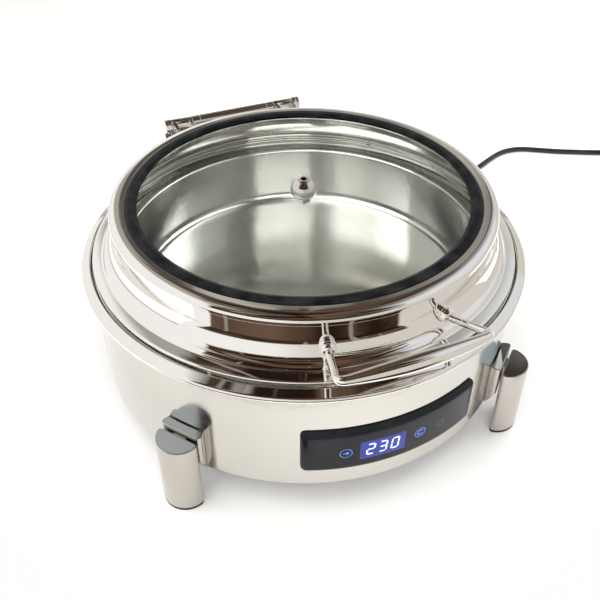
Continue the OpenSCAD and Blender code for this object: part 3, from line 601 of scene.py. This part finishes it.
def boardFinish():
    # Green solder mask over a maze of copper tracks, with pale legend blocks.
    tree, shader, place = blankFinish("circuitBoard")
    tracks = cellEdges(tree, place, 260.0)
    line = smooth(tree, tracks, 0.10, 0.05)
    spots = add(tree, "ShaderNodeTexVoronoi", {"feature": "F1"}, {"Vector": place, "Scale": 320.0}).outputs[0]
    pad = smooth(tree, spots, 0.20, 0.15)
    base = mixed(tree, line, (0.012, 0.12, 0.045), (0.03, 0.22, 0.09))
    tree.links.new(mixed(tree, pad, base, (0.75, 0.70, 0.55)), shader.inputs["Base Color"])
    tree.links.new(pad, shader.inputs["Metallic"])
    shader.inputs["Roughness"].default_value = 0.3
    bumped(tree, shader, line, 0.04)


def glassFinish():
    # Clear tempered glass with a green tint and wiped smears.
    tree, shader, place = blankFinish("clearGlass")
    marksOut = effect(tree, "handlingMarks", {"Vector": place, "Size": 9.0})
    tree.links.new(mixed(tree, marksOut["Smear"], (0.945, 0.975, 0.955), (0.93, 0.965, 0.945)),
                   shader.inputs["Base Color"])
    tree.links.new(smooth(tree, marksOut["Smear"], 0.0, 1.0, 0.0, 0.012), shader.inputs["Roughness"])
    bumped(tree, shader, effect(tree, "sheetWaves", {"Vector": place, "Slow": 6.0})["Height"], 0.05)
    shader.inputs["Transmission Weight"].default_value = 1.0
    shader.inputs["IOR"].default_value = 1.46


def glowFinish(name, colour, power):
    # A lit mark behind the gloss: its light is uneven, as from a few small lamps.
    tree, shader, place = blankFinish(name)
    patch = noise(tree, place, 140.0, 1.0)
    tree.links.new(mixed(tree, smooth(tree, patch, 0.3, 0.7), colour, [c * 0.6 for c in colour]),
                   shader.inputs["Emission Color"])
    shader.inputs["Emission Strength"].default_value = power
    shader.inputs["Base Color"].default_value = (0.004, 0.005, 0.012, 1)
    shader.inputs["Roughness"].default_value = 0.12


def paperFinish():
    tree, shader, place = blankFinish("palePaper")
    fibre = noise(tree, place, 3.0, 3.0)
    tree.links.new(mixed(tree, fibre, studio["floor"], [c * 0.985 for c in studio["floor"]]),
                   shader.inputs["Base Color"])
    shader.inputs["Roughness"].default_value = 0.75
    shader.inputs["Specular IOR Level"].default_value = 0.1


boardFinish()
glassFinish()
glowFinish("displayGlow", (0.02, 0.05, 0.75), 0.5)
glowFinish("digitGlow", (0.35, 0.45, 1.0), 4.0)
glowFinish("iconGlow", (0.06, 0.20, 1.0), 1.6)
glowFinish("iconRing", (0.15, 0.28, 0.75), 0.9)
glowFinish("powerGlow", (0.75, 0.06, 0.06), 0.25)
paperFinish()
print("materials ready")


def dress(piece, finish, body, replaces=()):
    piece.data.materials.clear()
    piece.data.materials.append(finishes[finish])
    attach(piece, body)
    if replaces:
        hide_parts(*replaces)
    return piece


tableFront = ellipse((0, 0), studio["frontR"], studio["frontR"], *studio["frontAngles"], 64)
farOut = studio["floorReach"]
tableEdge = np.vstack([tableFront, [(farOut, tableFront[-1][1]), (farOut, farOut), (-farOut, farOut),
                                    (-farOut, tableFront[0][1])]])
floorPlane = makeMesh("floor", np.column_stack([tableEdge, np.zeros(len(tableEdge))]),
                      [list(range(len(tableEdge)))], False)
floorPlane.data.materials.append(finishes["palePaper"])

# ---- mains cord ----

cordRoute = [(134, 214.5, 52), (138.5, 221.5, 51.2), (143, 228, 49), (148, 234, 45), (153, 239.5, 39),
             (158, 244.5, 31.5), (163, 249, 23.5), (168, 253, 16.5), (174, 257.5, 10.5), (182, 262.5, 6),
             (191, 267.5, 4), (205, 274, 3.8), (225, 280, 3.8), (248, 283, 3.8), (272, 282, 3.8),
             (297, 278, 3.8), (322, 272.5, 3.8), (347, 268.5, 3.8), (370, 267, 3.8), (393, 270, 3.8),
             (416, 278, 3.8), (439, 289, 3.8), (461, 299, 3.8), (481, 304.5, 3.8), (499, 304.5, 3.8),
             (517, 299, 3.8), (537, 287, 3.8), (560, 273.5, 3.8), (584, 261, 3.8), (609, 249, 3.8),
             (638, 236, 3.8), (668, 222, 3.8)]
tailRoute = [(683, 152, 11.3), (676, 143, 12.2), (668, 133.5, 13.4), (660, 124, 14)]
lead = {"thick": 7.5, "coilMiddle": (648, 181), "innerTurn": 38, "enters": 64.2, "turns": 3.288,
        "floorGap": 0.05, "plugTurn": -128, "plugNeck": 16}


def eased(u, start, end):
    t = np.clip((u - start) / (end - start), 0, 1)
    return t * t * (3 - 2 * t)


def coilTurns(settings):
    # Clockwise turns: an outer one on the floor, an inner one, then up one layer and out again.
    u = np.linspace(0, settings["turns"], 100)[1:-1]
    angle = np.radians(settings["enters"]) - u * tau
    radius = settings["innerTurn"] + settings["thick"] * (1 - eased(u, 0.80, 0.98) + eased(u, 2.30, 2.50))
    height = settings["thick"] / 2 + settings["floorGap"] + settings["thick"] * eased(u, 1.78, 1.97)
    middle = settings["coilMiddle"]
    return np.column_stack([middle[0] + radius * np.cos(angle), middle[1] + radius * np.sin(angle), height])


def curveThrough(points, spacing):
    # Catmull-Rom: each span is half of (2b + (c - a)t + (2a - 5b + 4c - d)t^2 + (3b - a - 3c + d)t^3).
    p = np.asarray(points, float)
    p = np.vstack([2 * p[0] - p[1], p, 2 * p[-1] - p[-2]])
    out = []
    for a, b, c, d in zip(p[:-3], p[1:-2], p[2:-1], p[3:]):
        steps = max(1, int(round(np.linalg.norm(c - b) / spacing)))
        t = (np.arange(steps) / steps)[:, None]
        out.append(0.5 * (2 * b + (c - a) * t + (2 * a - 5 * b + 4 * c - d) * t ** 2
                          + (3 * b - a - 3 * c + d) * t ** 3))
    return np.vstack(out + [p[-2:-1]])


cordPath = curveThrough(np.vstack([cordRoute, coilTurns(lead), tailRoute]), 3.0)
mainsCord = dress(swept("mains_cord", cordPath, lead["thick"] / 2, 20), "cordRubber", "base",
                  ("cord", "cord_coil", "cord_tail"))
plugPlace = Matrix.Translation(tailRoute[-1]) @ Matrix.Rotation(np.radians(lead["plugTurn"]), 4, "Z") \
    @ Matrix.Rotation(np.pi / 2, 4, "Y")
plugR = high("plug_body")[2] - tailRoute[-1][2]
plug = {"bodyL": 34, "pinApart": 7, "pinR": 2.4, "pinL": 19.0}
neck, bodyL = lead["plugNeck"], plug["bodyL"]
plugSide = [(0, 0.2, 0), (4.7, 0.2, 0.4)]
for k in range(4):  # ribs of the neck that bends
    at, ribR = 2.0 + 3.4 * k, 4.9 + 0.35 * k
    plugSide += [(ribR, at, 0.2), (ribR, at + 2.0, 0.3), (ribR - 0.8, at + 2.3, 0.2),
                 (ribR - 0.8, at + 3.0, 0.2)]
plugSide += [(5.9, neck, 0.5), (plugR - 2, neck + 6, 3), (plugR, neck + 12, 2)]
for k in range(4):  # finger grooves
    at = neck + 15 + 3.2 * k
    plugSide += [(plugR, at, 0.4), (plugR - 0.7, at + 0.8, 0.4), (plugR, at + 1.6, 0.4)]
plugSide += [(plugR, neck + bodyL, 1.6), (0, neck + bodyL, 0)]
plugBody = dress(turned("plug_housing", rounded(plugSide, False), 64, plugPlace), "plugPlastic", "base",
                 ("plug_body",))


def pinAt(side):
    # A nickel pin with a round nose, and a black sleeve next to the housing.
    place = plugPlace @ Matrix.Translation((0, side * plug["pinApart"], neck + bodyL))
    pin = rounded([(0, 0.1, 0), (plug["pinR"], 0.1, 0.1), (plug["pinR"], plug["pinL"] - 0.4, 1.6),
                   (0, plug["pinL"], 0)],
                  False)
    return turned("pin_" + sideName(side), pin, 32, place)


pins = [dress(pinAt(side), "pinNickel", "base") for side in (-1, 1)]
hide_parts("plug_pins")
reliefAngle = np.arctan2(cordRoute[0][1], cordRoute[0][0])
exitR = np.hypot(*cordRoute[0][:2])
drumR = high("drum_shell")[0]


def outwards(angle, r, z):
    # An axis that points away from the drum's axis at an angle and a height.
    return Matrix.Rotation(angle, 4, "Z") @ Matrix.Translation((r, 0, z)) @ Matrix.Rotation(np.pi / 2, 4, "Y")


def reliefPiece():
    start = drumR + 3.0
    side = [(0, start, 0), (7, start, 0.8), (6.8, start + 5, 0.8)]
    spans = 7
    for k in range(spans):
        at = start + 6 + (exitR - start - 8) * k / spans
        r = 6.2 - 1.7 * k / spans
        side += [(r - 0.9, at, 0.2), (r - 0.9, at + 1.1, 0.2), (r, at + 1.5, 0.4), (r - 0.2, at + 3.2, 0.4)]
    side += [(4.35, exitR - 1.2, 0.4), (4.3, exitR - 0.1, 0.3), (0, exitR - 0.1, 0)]
    return turned("strain_relief", rounded(side, False), 48, outwards(reliefAngle, 0, cordRoute[0][2]))


relief = dress(reliefPiece(), "cordRubber", "base", ("cord_relief",))

# ---- drum, rim and pans ----

drum = {"seatStep": 5.2, "sheet": 1.2, "flange": 9, "rollR": 2.6}
drumLow, drumTop = low("drum_shell")[2], high("drum_shell")[2]
drumPath = rounded([(drumR - drum["flange"], drumLow, 0), (drumR, drumLow, drum["rollR"]),
                    (drumR, drumTop, 0)], False)
dress(turned("drum_wall", sheetEdge(drumPath, drum["sheet"]), 360), "drumSteel", "base",
      ("drum_shell",))

rimR, rimLow, rimTop = high("drum_rim")[0], low("drum_rim")[2], high("drum_rim")[2]
rimEdge = [(drumR + 0.15, rimLow, 0.3), (rimR, rimLow, 2.2), (rimR, rimLow + 4.9, 3.4),
           (drumR + 0.6, rimTop, 0.8), (drumR - 0.7, rimTop - 0.9, 0.4), (drumR - 0.7, rimTop - 2.8, 0.2),
           (drumR + 0.15, rimTop - 3.7, 0.2)]
dress(turned("rolled_rim", rounded(rimEdge), 360), "rimSteel", "base", ("drum_rim",))

bath = {"ledge": 8.0, "step": 1.6, "wallIn": 18.0}
bathTop, bathFloor = high("water_pan")[2], low("water_pan")[2] + drum["sheet"]
seatZ = bathTop - drum["seatStep"]
seatR = drumR - bath["ledge"]
bathPath = rounded([(high("water_pan")[0], bathTop, 0), (seatR + bath["step"], bathTop, 1.2),
                    (seatR, seatZ, 1.0), (seatR - bath["wallIn"], seatZ, 2.5),
                    (seatR - bath["wallIn"], bathFloor, 12), (0, bathFloor, 0)],
                   False)
dress(turned("water_pan_body", sheetEdge(bathPath, drum["sheet"]), 320), "ledgeSteel", "base",
      ("water_pan",))

pan = {"flange": 10.9, "draft": 1.5, "corner": 9, "hem": 2.0, "clear": 0.3}
panR, panTop, panFloor = high("food_pan")[0], high("food_pan")[2], low("food_pan")[2] + drum["sheet"]
panPath = rounded([(panR, seatZ + pan["clear"], 0), (panR, panTop, pan["hem"]),
                   (panR - pan["flange"], panTop, 3.0),
                   (panR - pan["flange"] - pan["draft"], panFloor, pan["corner"]), (0, panFloor, 0)], False)
dress(turned("food_pan_body", sheetEdge(panPath, drum["sheet"]), 320), "panSteel", "food_pan",
      ("food_pan",))
print("drum and pans ready")

# ---- lid ----

lid = {"hem": 2.1, "flange": 10, "sheet": 1.2, "flareWide": 14, "flareHigh": 20.7, "neckIn": 23.5,
       "shoulderWide": 11.2, "shoulderHigh": 6.4, "land": 4.4}
lidR, lidLow = high("lid_neck")[0], low("lid_neck")[2]
neckR = lidR - lid["neckIn"]
stepR = lidR - lid["flange"]
neckTop = high("lid_neck")[2]
ringR, ringLow, ringTop = high("lid_ring")[0], low("lid_ring")[2], high("lid_ring")[2]
flareZ = lidLow + 30.2
flareCurve = ellipse((neckR + lid["flareWide"], flareZ), -lid["flareWide"], -lid["flareHigh"], 75, 0, 24)
hemCurve = ellipse((lidR - lid["hem"], lidLow + lid["hem"]), lid["hem"], lid["hem"], -90, 78, 12)
neckPath = np.vstack([[(lidR - 5, lidLow)], hemCurve,
                      [(stepR + 1.2, lidLow + 5.95), (stepR + 0.3, lidLow + 6.15),
                       (stepR - 0.4, lidLow + 6.45), (stepR - 1.2, lidLow + 7.1)], flareCurve,
                       [(neckR, neckTop)]])
dress(turned("lid_skirt", sheetEdge(neckPath, lid["sheet"]), 360), "mirrorSteel", "lid",
      ("lid_neck",))

landR = ringR - lid["shoulderWide"]
wellR = landR - lid["land"]
wellZ = low("gasket")[2] - 0.1
shoulder = ellipse((landR, ringTop - lid["shoulderHigh"]), lid["shoulderWide"], lid["shoulderHigh"], 0, 88,
                   24)
ringPath = np.vstack([[(ringR, ringLow), (ringR, ringLow + 1.0)], shoulder,
                      rounded([(landR, ringTop, 0), (wellR, ringTop, 0.6), (wellR, wellZ, 0.8),
                               (high("glass")[0] - 3, wellZ, 0)], False)])
dress(turned("lid_ring_body", sheetEdge(ringPath, lid["sheet"]), 360), "mirrorSteel", "lid",
      ("lid_ring",))

seal = {"lip": 12, "glassOverlap": 2.6}
gasketR, gasketTop = high("gasket")[0], high("gasket")[2]
glassR, glassLow, glassTop = high("glass")[0], low("glass")[2], high("glass")[2]
lipR = gasketR - seal["lip"]
gasketEdge = [(gasketR, wellZ + 0.1, 0.3), (gasketR, gasketTop - 0.9, 1.4), (gasketR - 3.0, gasketTop, 2.0),
              (lipR + 3.6, gasketTop, 2.4), (lipR, gasketTop - 1.4, 1.2), (lipR, glassTop + 0.1, 0.3),
              (glassR + 0.1, glassTop + 0.1, 0.1), (glassR + 0.1, glassLow - 0.1, 0.1),
              (glassR - seal["glassOverlap"], glassLow - 0.1, 0.2),
              (glassR - seal["glassOverlap"], wellZ + 0.1, 0.2)]
dress(turned("gasket_ring", rounded(gasketEdge), 320), "gasketRubber", "lid", ("gasket",))
paneEdge = [(5, glassLow, 0.4), (glassR, glassLow, 0.5), (glassR, glassTop, 0.5), (5, glassTop, 0.4)]
dress(turned("glass_pane", rounded(paneEdge), 320), "clearGlass", "lid", ("glass",))

knob = {"r": 13.0, "vent": 3.0, "collar": 4.2, "stem": 4.6, "rise": 2.2, "lipR": 0.65}


def ventKnob():
    # A ball cut flat below, with a raised lip round the vent at its top.
    base = glassTop + 0.9
    middle = base + knob["rise"]
    foot = np.degrees(-np.arcsin(knob["rise"] / knob["r"]))
    crown = np.degrees(np.arccos(knob["collar"] / knob["r"]))
    lipZ = middle + knob["r"] * np.sin(np.radians(crown)) + 0.25
    outline = np.vstack([[(knob["vent"], low("vent_knob")[2]), (knob["stem"], low("vent_knob")[2]),
                          (knob["stem"], base), (knob["r"] - 0.9, base)],
                         ellipse((0, middle), knob["r"], knob["r"], foot + 1.5, crown, 44),
                         ellipse((knob["vent"] + knob["lipR"], lipZ), knob["lipR"], knob["lipR"], 0, 180,
                                 10)])
    return turned("steam_knob", outline, 128)


dress(ventKnob(), "knobSteel", "lid", ("vent_knob",))
washer = rounded([(4.7, glassTop + 0.1, 0.05), (knob["r"] - 0.6, glassTop + 0.1, 0.1),
                  (knob["r"] - 0.6, glassTop + 0.8, 0.3), (4.7, glassTop + 0.8, 0.05)])
underWasher = rounded([(4.7, glassLow - 0.9, 0.05), (10, glassLow - 0.9, 0.3), (10, glassLow - 0.1, 0.1),
                       (4.7, glassLow - 0.1, 0.05)])
dress(turned("knob_washer", washer, 96), "milkySilicone", "lid", ("knob_seal",))
dress(turned("knob_under_washer", underWasher, 96), "milkySilicone", "lid")
print("lid ready")

# ---- handle ----

grip = {"armAngle": 16.9, "bow": 4.2, "rise": 11.2, "armR": 3.4, "endR": 4.25, "midR": 7.8, "turnR": 9,
        "bossR": 7.3, "bossL": 9, "level": 3}
gripZ = high("handle_bar")[2] - grip["midR"]
bossZ = gripZ - grip["rise"]
gripY = -low("handle_bar")[1] - grip["midR"] - grip["bow"]
armSlope = np.tan(np.radians(grip["armAngle"]))


def bend(start, corner, end, steps):
    # Quadratic curve: (1 - t)^2 start + 2t(1 - t) corner + t^2 end.
    t = np.linspace(0, 1, steps)[:, None]
    return (1 - t) ** 2 * start + 2 * t * (1 - t) * corner + t ** 2 * end


def handleHalf(side):
    # Level out of the boss, up along the arm, round the corner, then on a shallow parabola to the grip's
    # middle.
    corner = np.array((side * gripY * armSlope, -gripY, gripZ))
    out = np.array((side * np.sin(np.radians(grip["armAngle"])), -np.cos(np.radians(grip["armAngle"])), 0))
    bossEnd = out * (neckR + grip["bossL"] + 0.1) + (0, 0, bossZ)
    start = bossEnd + out * grip["level"]
    rising = (corner - start) / np.linalg.norm(corner - start)
    before = corner - rising * grip["turnR"]
    reach = abs(corner[0]) - grip["turnR"]

    def bowed(x):
        return np.column_stack([side * x, -gripY - grip["bow"] * (1 - (x / abs(corner[0])) ** 2),
                                np.full(len(x), gripZ)])
    after = bowed(np.array([reach]))[0]
    lowBend = bend(bossEnd, start, start + rising * grip["level"], 7)
    arm = lowBend[-1] + (before - lowBend[-1]) * np.linspace(0, 1, 12)[1:-1, None]
    turnIn = bend(before, corner, after, 14)
    s = np.linspace(0, 1, 40)[1:]
    bar = bowed(reach * (1 - s))
    widths = np.concatenate([np.full(len(lowBend) + len(arm), grip["armR"]),
                             grip["armR"] + (grip["endR"] - grip["armR"])
                             * eased(np.linspace(0, 1, 14), 0, 1),
                             grip["endR"] + (grip["midR"] - grip["endR"]) * np.sin(s * np.pi / 2)])
    return np.vstack([lowBend, arm, turnIn, bar]), widths


def handlePiece():
    right, widths = handleHalf(1)
    left = handleHalf(-1)[0]
    return swept("bow_handle", np.vstack([left, right[-2::-1]]), np.concatenate([widths, widths[-2::-1]]), 48)


dress(handlePiece(), "mirrorSteel", "lid", ("handle_bar",))


def bossPiece(side):
    # A domed ferrule: a short plain collar, then a quarter ellipse down to the arm, with two turned grooves.
    base = neckR - 1.0
    r, top = grip["bossR"], neckR + grip["bossL"] - 0.1
    dome = ellipse((grip["armR"] + 0.4, base + 3.6), r - grip["armR"] - 0.4, top - base - 3.6, 4, 90, 16)
    outline = np.vstack([rounded([(0, base, 0), (r, base, 0.1), (r, base + 2.4, 0.4),
                                  (r - 0.5, base + 2.9, 0.2), (r - 0.1, base + 3.4, 0.2),
                                  (dome[0][0], dome[0][1], 0)], False), dome[1:],
                         [(0, top)]])
    return turned("ferrule_" + sideName(side), outline, 72,
                  outwards(np.radians(-90 + side * grip["armAngle"]), 0, bossZ))


ferrules = [dress(bossPiece(side), "mirrorSteel", "lid") for side in (-1, 1)]
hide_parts("handle_bosses")
print("handle ready")

# ---- hinge ----

hinge = {"r": 7.0, "eye": 7.5, "capL": 4.0, "groove": 9, "lugX": 30, "lugWide": 6}
axisY = (low("hinge_pin")[1] + high("hinge_pin")[1]) / 2
axisZ = (low("hinge_pin")[2] + high("hinge_pin")[2]) / 2
alongHinge = Matrix.Translation((0, axisY, axisZ)) @ Matrix.Rotation(np.pi / 2, 4, "Y")


def capPiece(side):
    end = high("hinge_caps")[0]
    inner = end - hinge["capL"]
    outline = rounded([(0, inner, 0), (hinge["eye"], inner, 0.3), (hinge["eye"], end, 0.9), (5.0, end, 0.2),
                       (4.6, end - 0.4, 0.2), (0, end - 0.4, 0)], False)
    if side < 0:
        outline = outline * (1, -1)
    return turned("hinge_cap_" + sideName(side), outline, 64, alongHinge)


caps = [dress(capPiece(side), "hingeChrome", "base") for side in (-1, 1)]
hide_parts("hinge_caps")
barrelEnd, barrelR, groove = high("hinge_barrel")[0], hinge["r"], hinge["groove"]
barrelEdge = [(4.1, -barrelEnd, 0.2), (barrelR, -barrelEnd, 0.5), (barrelR, -barrelEnd + groove, 0.1),
              (barrelR - 0.25, -barrelEnd + groove + 0.3, 0.1), (barrelR, -barrelEnd + groove + 0.6, 0.1),
              (barrelR, barrelEnd - groove - 0.6, 0.1), (barrelR - 0.25, barrelEnd - groove - 0.3, 0.1),
              (barrelR, barrelEnd - groove, 0.1), (barrelR, barrelEnd, 0.5), (4.1, barrelEnd, 0.2)]
dress(turned("hinge_tube", rounded(barrelEdge), 96, alongHinge), "hingeChrome", "base",
      ("hinge_barrel",))


def lugPiece(side):
    wide = hinge["lugWide"] / 2
    outline = rounded([(side * hinge["lugX"] - wide, axisY + 1, 0.6),
                       (side * hinge["lugX"] + wide, axisY + 1, 0.6),
                       (side * hinge["lugX"] + wide, high("hinge_barrel")[1], 0.6),
                       (side * hinge["lugX"] - wide, high("hinge_barrel")[1], 0.6)])
    return prism("barrel_lug_" + sideName(side), outline, low("hinge_barrel")[2], axisZ - 1, 0.4,
                 Matrix.Identity(4))


for side in (-1, 1):
    dress(lugPiece(side), "hingeChrome", "base")
for node, body in (("hinge_bracket", "base"), ("lid_arm_left", "lid"), ("lid_arm_right", "lid")):
    dress(softened(node, 0.35), "hingeChrome", body,
          (node,))
print("hinge ready")

# ---- legs ----

leg = {"r": 22, "gap": 1.5, "corner": 3.5, "turn": -5.8, "spread": 46.9, "edge": 0.9, "fromDrum": 10.3,
       "slope": 19, "spacer": (61, 81)}
legCentre = drumR + leg["fromDrum"]


def halfOutline(r, wallR=None):
    # Half a disc with its flat at gap / 2 and both its corners rounded; with wallR its back follows the drum.
    flat, c = leg["gap"] / 2, leg["corner"]
    reach = np.sqrt((r - c) ** 2 - (flat + c) ** 2)
    turn = np.degrees(np.arctan2(reach, flat + c))
    lowCorner = ellipse((flat + c, -reach), c, c, -180, -turn, 10)
    highCorner = ellipse((flat + c, reach), c, c, turn, 180, 10)
    if wallR is None:
        return np.vstack([lowCorner, ellipse((0, 0), r, r, -turn, turn, 48)[1:-1], highCorner])
    wallX = (wallR ** 2 - legCentre ** 2 - r ** 2) / (2 * legCentre)
    limit = np.degrees(np.arccos(-wallX / r))
    wallTurn = np.degrees(np.arcsin(r * np.sin(np.radians(limit)) / wallR))
    side = ellipse((0, 0), r, r, -turn, -limit, 14)
    wall = ellipse((legCentre, 0), -wallR, wallR, -wallTurn, wallTurn, 14)
    return np.vstack([lowCorner, side[1:], wall[1:-1], ellipse((0, 0), r, r, limit, turn, 14)[:-1],
                      highCorner])


def legPieces(k):
    angle = (-90 if k < 3 else 90) + leg["turn"] + (leg["spread"] if k % 2 == 0 else -leg["spread"])
    place = Matrix.Rotation(np.radians(angle), 4, "Z") @ Matrix.Translation((legCentre, 0, 0))
    turnedIn = place @ Matrix.Rotation(np.pi, 4, "Z")
    tube, block, foot = f"leg_tube_{k}", f"leg_backing_{k}", f"leg_foot_{k}"
    outer = prism(f"leg_{k}_front", halfOutline(leg["r"]), low(tube)[2], high(tube)[2], leg["edge"], place)
    inner = prism(f"leg_{k}_back", halfOutline(leg["r"], drumR + 0.15), low(block)[2], high(block)[2],
                  leg["edge"], turnedIn, lambda x: leg["slope"] * np.clip(1 - x / leg["fromDrum"], 0, 1))
    strip = rounded([(-0.6, -7, 0.3), (1.2, -7, 0.3), (1.2, 7, 0.3), (-0.6, 7, 0.3)])
    dress(prism(f"leg_{k}_spacer", strip, *leg["spacer"], 0.2, turnedIn), "legSteel", "base")
    pad = prism(f"leg_{k}_foot", halfOutline(leg["r"] - 0.3), 0, high(foot)[2], 0.5, place)
    dress(outer, "legSteel", "base", (tube,))
    dress(inner, "legSteel", "base", (block,))
    dress(pad, "footRubber", "base", (foot,))
    # Faces that point up get the leg-top steel, whose blue-grey tint is a painted reflection.
    for piece in (outer, inner):
        piece.data.materials.append(finishes["legTopPaintedReflection"])
        for face in piece.data.polygons:
            if face.normal.z > 0.9:
                face.material_index = 1


for k in (1, 2, 3, 4):
    legPieces(k)
print("legs ready")

# ---- control panel ----

panel = {"halfAngle": 23.7, "cornerR": 6.5, "proud": 4.0, "display": (-14.5, -3.0),
         "displayHalf": (21.5, 11.5), "digits": "230", "digitStep": 11.5, "digitHalf": (3.2, 6.4),
         "segment": 0.75, "slant": 0.10, "iconR": 5.4, "leftIcon": (-48.5, -3.5), "rightIcon": (22.5, -2.5),
         "powerIcon": (46, -4), "topBevel": (3.0, 6.5)}
panelMiddle = (low("panel_lens")[2] + high("panel_lens")[2]) / 2
panelHalf = (high("panel_lens")[2] - low("panel_lens")[2]) / 2


def onPanel(points):
    # (across, up, height) bent round the drum: angle = across / drum radius.
    points = np.asarray(points, float)
    angle = -np.pi / 2 + points[:, 0] / drumR
    r = drumR + 0.1 + points[:, 2]
    return np.column_stack([r * np.cos(angle), r * np.sin(angle), panelMiddle + points[:, 1]])


bevel = [(0, 0), (0, 0.5), (0.1, 1.1), (0.3, 1.9), (0.8, 2.9), (1.4, 3.5), (2.2, 3.85), (3.2, 3.98),
         (4.2, 4.0), (5.4, 4.0), (6.3, 4.0), (6.7, 4.0)]


def onFront(points):
    # The front's upper edge slopes back: never higher than the bevel's plane.
    cut = np.asarray(points, float).copy()
    deep, tall = panel["topBevel"]
    cut[:, 2] = np.minimum(cut[:, 2], panel["proud"] - deep * (cut[:, 1] - (panelHalf - tall)) / tall)
    return onPanel(cut)


front = slab("panel_front", drumR * np.radians(panel["halfAngle"]), panelHalf, panel["cornerR"], bevel,
             onFront, 60)
dress(front, "panelGloss", "base", ("panel_lens",))


def shifted(offset, slant=0.0):
    def place(points):
        moved = np.asarray(points, float).copy()
        moved[:, 0] += offset[0] + slant * moved[:, 1]
        moved[:, 1] += offset[1]
        return onPanel(moved)
    return place


face = panel["proud"]
window = slab("display_window", *panel["displayHalf"], 1.5,
              [(0, face - 0.3), (0, face + 0.02), (0.1, face + 0.05)], shifted(panel["display"]), 20)
dress(window, "displayGlow", "base")


def inked(name, strokes, width, height):
    # Flat strips along strokes: each stroke moved half a width to both sides and raised by height.
    points, faces = [], []
    for stroke in strokes:
        path = np.asarray(stroke, float)
        step = np.gradient(path, axis=0)
        step /= np.hypot(step[:, 0], step[:, 1])[:, None]
        across = np.column_stack([-step[:, 1], step[:, 0]]) * width / 2
        start = len(points)
        for level, side in ((face - 0.3, 1), (face + height, 1), (face + height, -1), (face - 0.3, -1)):
            points += [(x, y, level) for x, y in path + side * across]
        count = len(path)
        grid = np.arange(4 * count).reshape(4, count) + start
        for a in range(4):
            b = (a + 1) % 4
            faces += [(grid[a, i], grid[a, i + 1], grid[b, i + 1], grid[b, i]) for i in range(count - 1)]
        faces += [tuple(grid[::-1, 0]), tuple(grid[:, -1])]
    return makeMesh(name, onPanel(points), [tuple(int(v) for v in f) for f in faces], False)


def digitStrokes(text):
    # Seven bars per digit: top, upper right, lower right, bottom, lower left, upper left, middle.
    lit = {"0": "abcdef", "1": "bc", "2": "abged", "3": "abgcd", "4": "fgbc", "5": "afgcd", "6": "afgedc",
           "7": "abc", "8": "abcdefg", "9": "abcdfg"}
    w, h = panel["digitHalf"]
    g = 0.55
    ends = {"a": ((-w + g, h), (w - g, h)), "b": ((w, h - g), (w, g)), "c": ((w, -g), (w, g - h)),
            "d": ((-w + g, -h), (w - g, -h)), "e": ((-w, -g), (-w, g - h)), "f": ((-w, h - g), (-w, g)),
            "g": ((-w + g, 0), (w - g, 0))}
    strokes = []
    for k, digit in enumerate(text):
        middle = panel["display"][0] + panel["digitStep"] * (k - (len(text) - 1) / 2)
        for bar in lit[digit]:
            strokes.append([(middle + x + panel["slant"] * y, panel["display"][1] + y) for x, y in ends[bar]])
    return strokes


dress(inked("display_digits", digitStrokes(panel["digits"]), 2 * panel["segment"], 0.09), "digitGlow", "base")


def circle(middle, r, start=0, end=360, steps=40):
    return ellipse(middle, r, r, start, end, steps)


def iconMarks():
    left, right, power = (np.array(panel[k]) for k in ("leftIcon", "rightIcon", "powerIcon"))
    r = panel["iconR"]
    rings = [circle(left, r), circle(right, r)]
    glyphs = [[left + (-2.6, 0), left + (2.2, 0)], [left + (0.4, 1.9), left + (2.4, 0), left + (0.4, -1.9)],
              circle(right, 2.6, 60, 330, 20), [right + (1.0, 3.4), right + (1.3, 2.2), right + (2.7, 2.6)]]
    powers = [circle(power, 3.6, -240, 60, 30), [power + (0, 1.2), power + (0, 4.2)]]
    return rings, glyphs, powers


rings, glyphs, powers = iconMarks()
dress(inked("icon_rings", rings, 0.9, 0.05), "iconRing", "base")
dress(inked("icon_glyphs", glyphs, 1.1, 0.06), "iconGlow", "base")
dress(inked("power_icon", powers, 0.8, 0.05), "powerGlow", "base")
print("panel ready")

# ---- CAD pieces that keep their shape ----

finishOfSlot = {"satin_steel": "drumSteel", "mirror_steel": "mirrorSteel", "leg_steel": "legSteel",
                "pan_steel": "panSteel", "plain_steel": "plainSteel", "bolt_steel": "boltSteel",
                "hinge_chrome": "hingeChrome", "damper_plastic": "damperPlastic",
                "cast_aluminium": "castAluminium", "element_sheath": "elementSheath",
                "white_ceramic": "whiteCeramic", "brass": "turnedBrass", "panel_gloss": "panelGloss",
                "panel_plastic": "panelPlastic", "display_lit": "displayGlow",
                "circuit_board": "circuitBoard", "lead_sleeve": "redSleeve", "gasket_rubber": "gasketRubber",
                "foot_rubber": "footRubber", "silicone": "milkySilicone", "clear_glass": "clearGlass",
                "cord_rubber": "cordRubber", "plug_plastic": "plugPlastic", "pin_nickel": "pinNickel"}
for part in frame["record"]["subparts"]:
    node = frame["nodes"][part["node"]]
    node.data.materials.clear()
    node.data.materials.append(finishes[finishOfSlot[part["material_slot"]]])
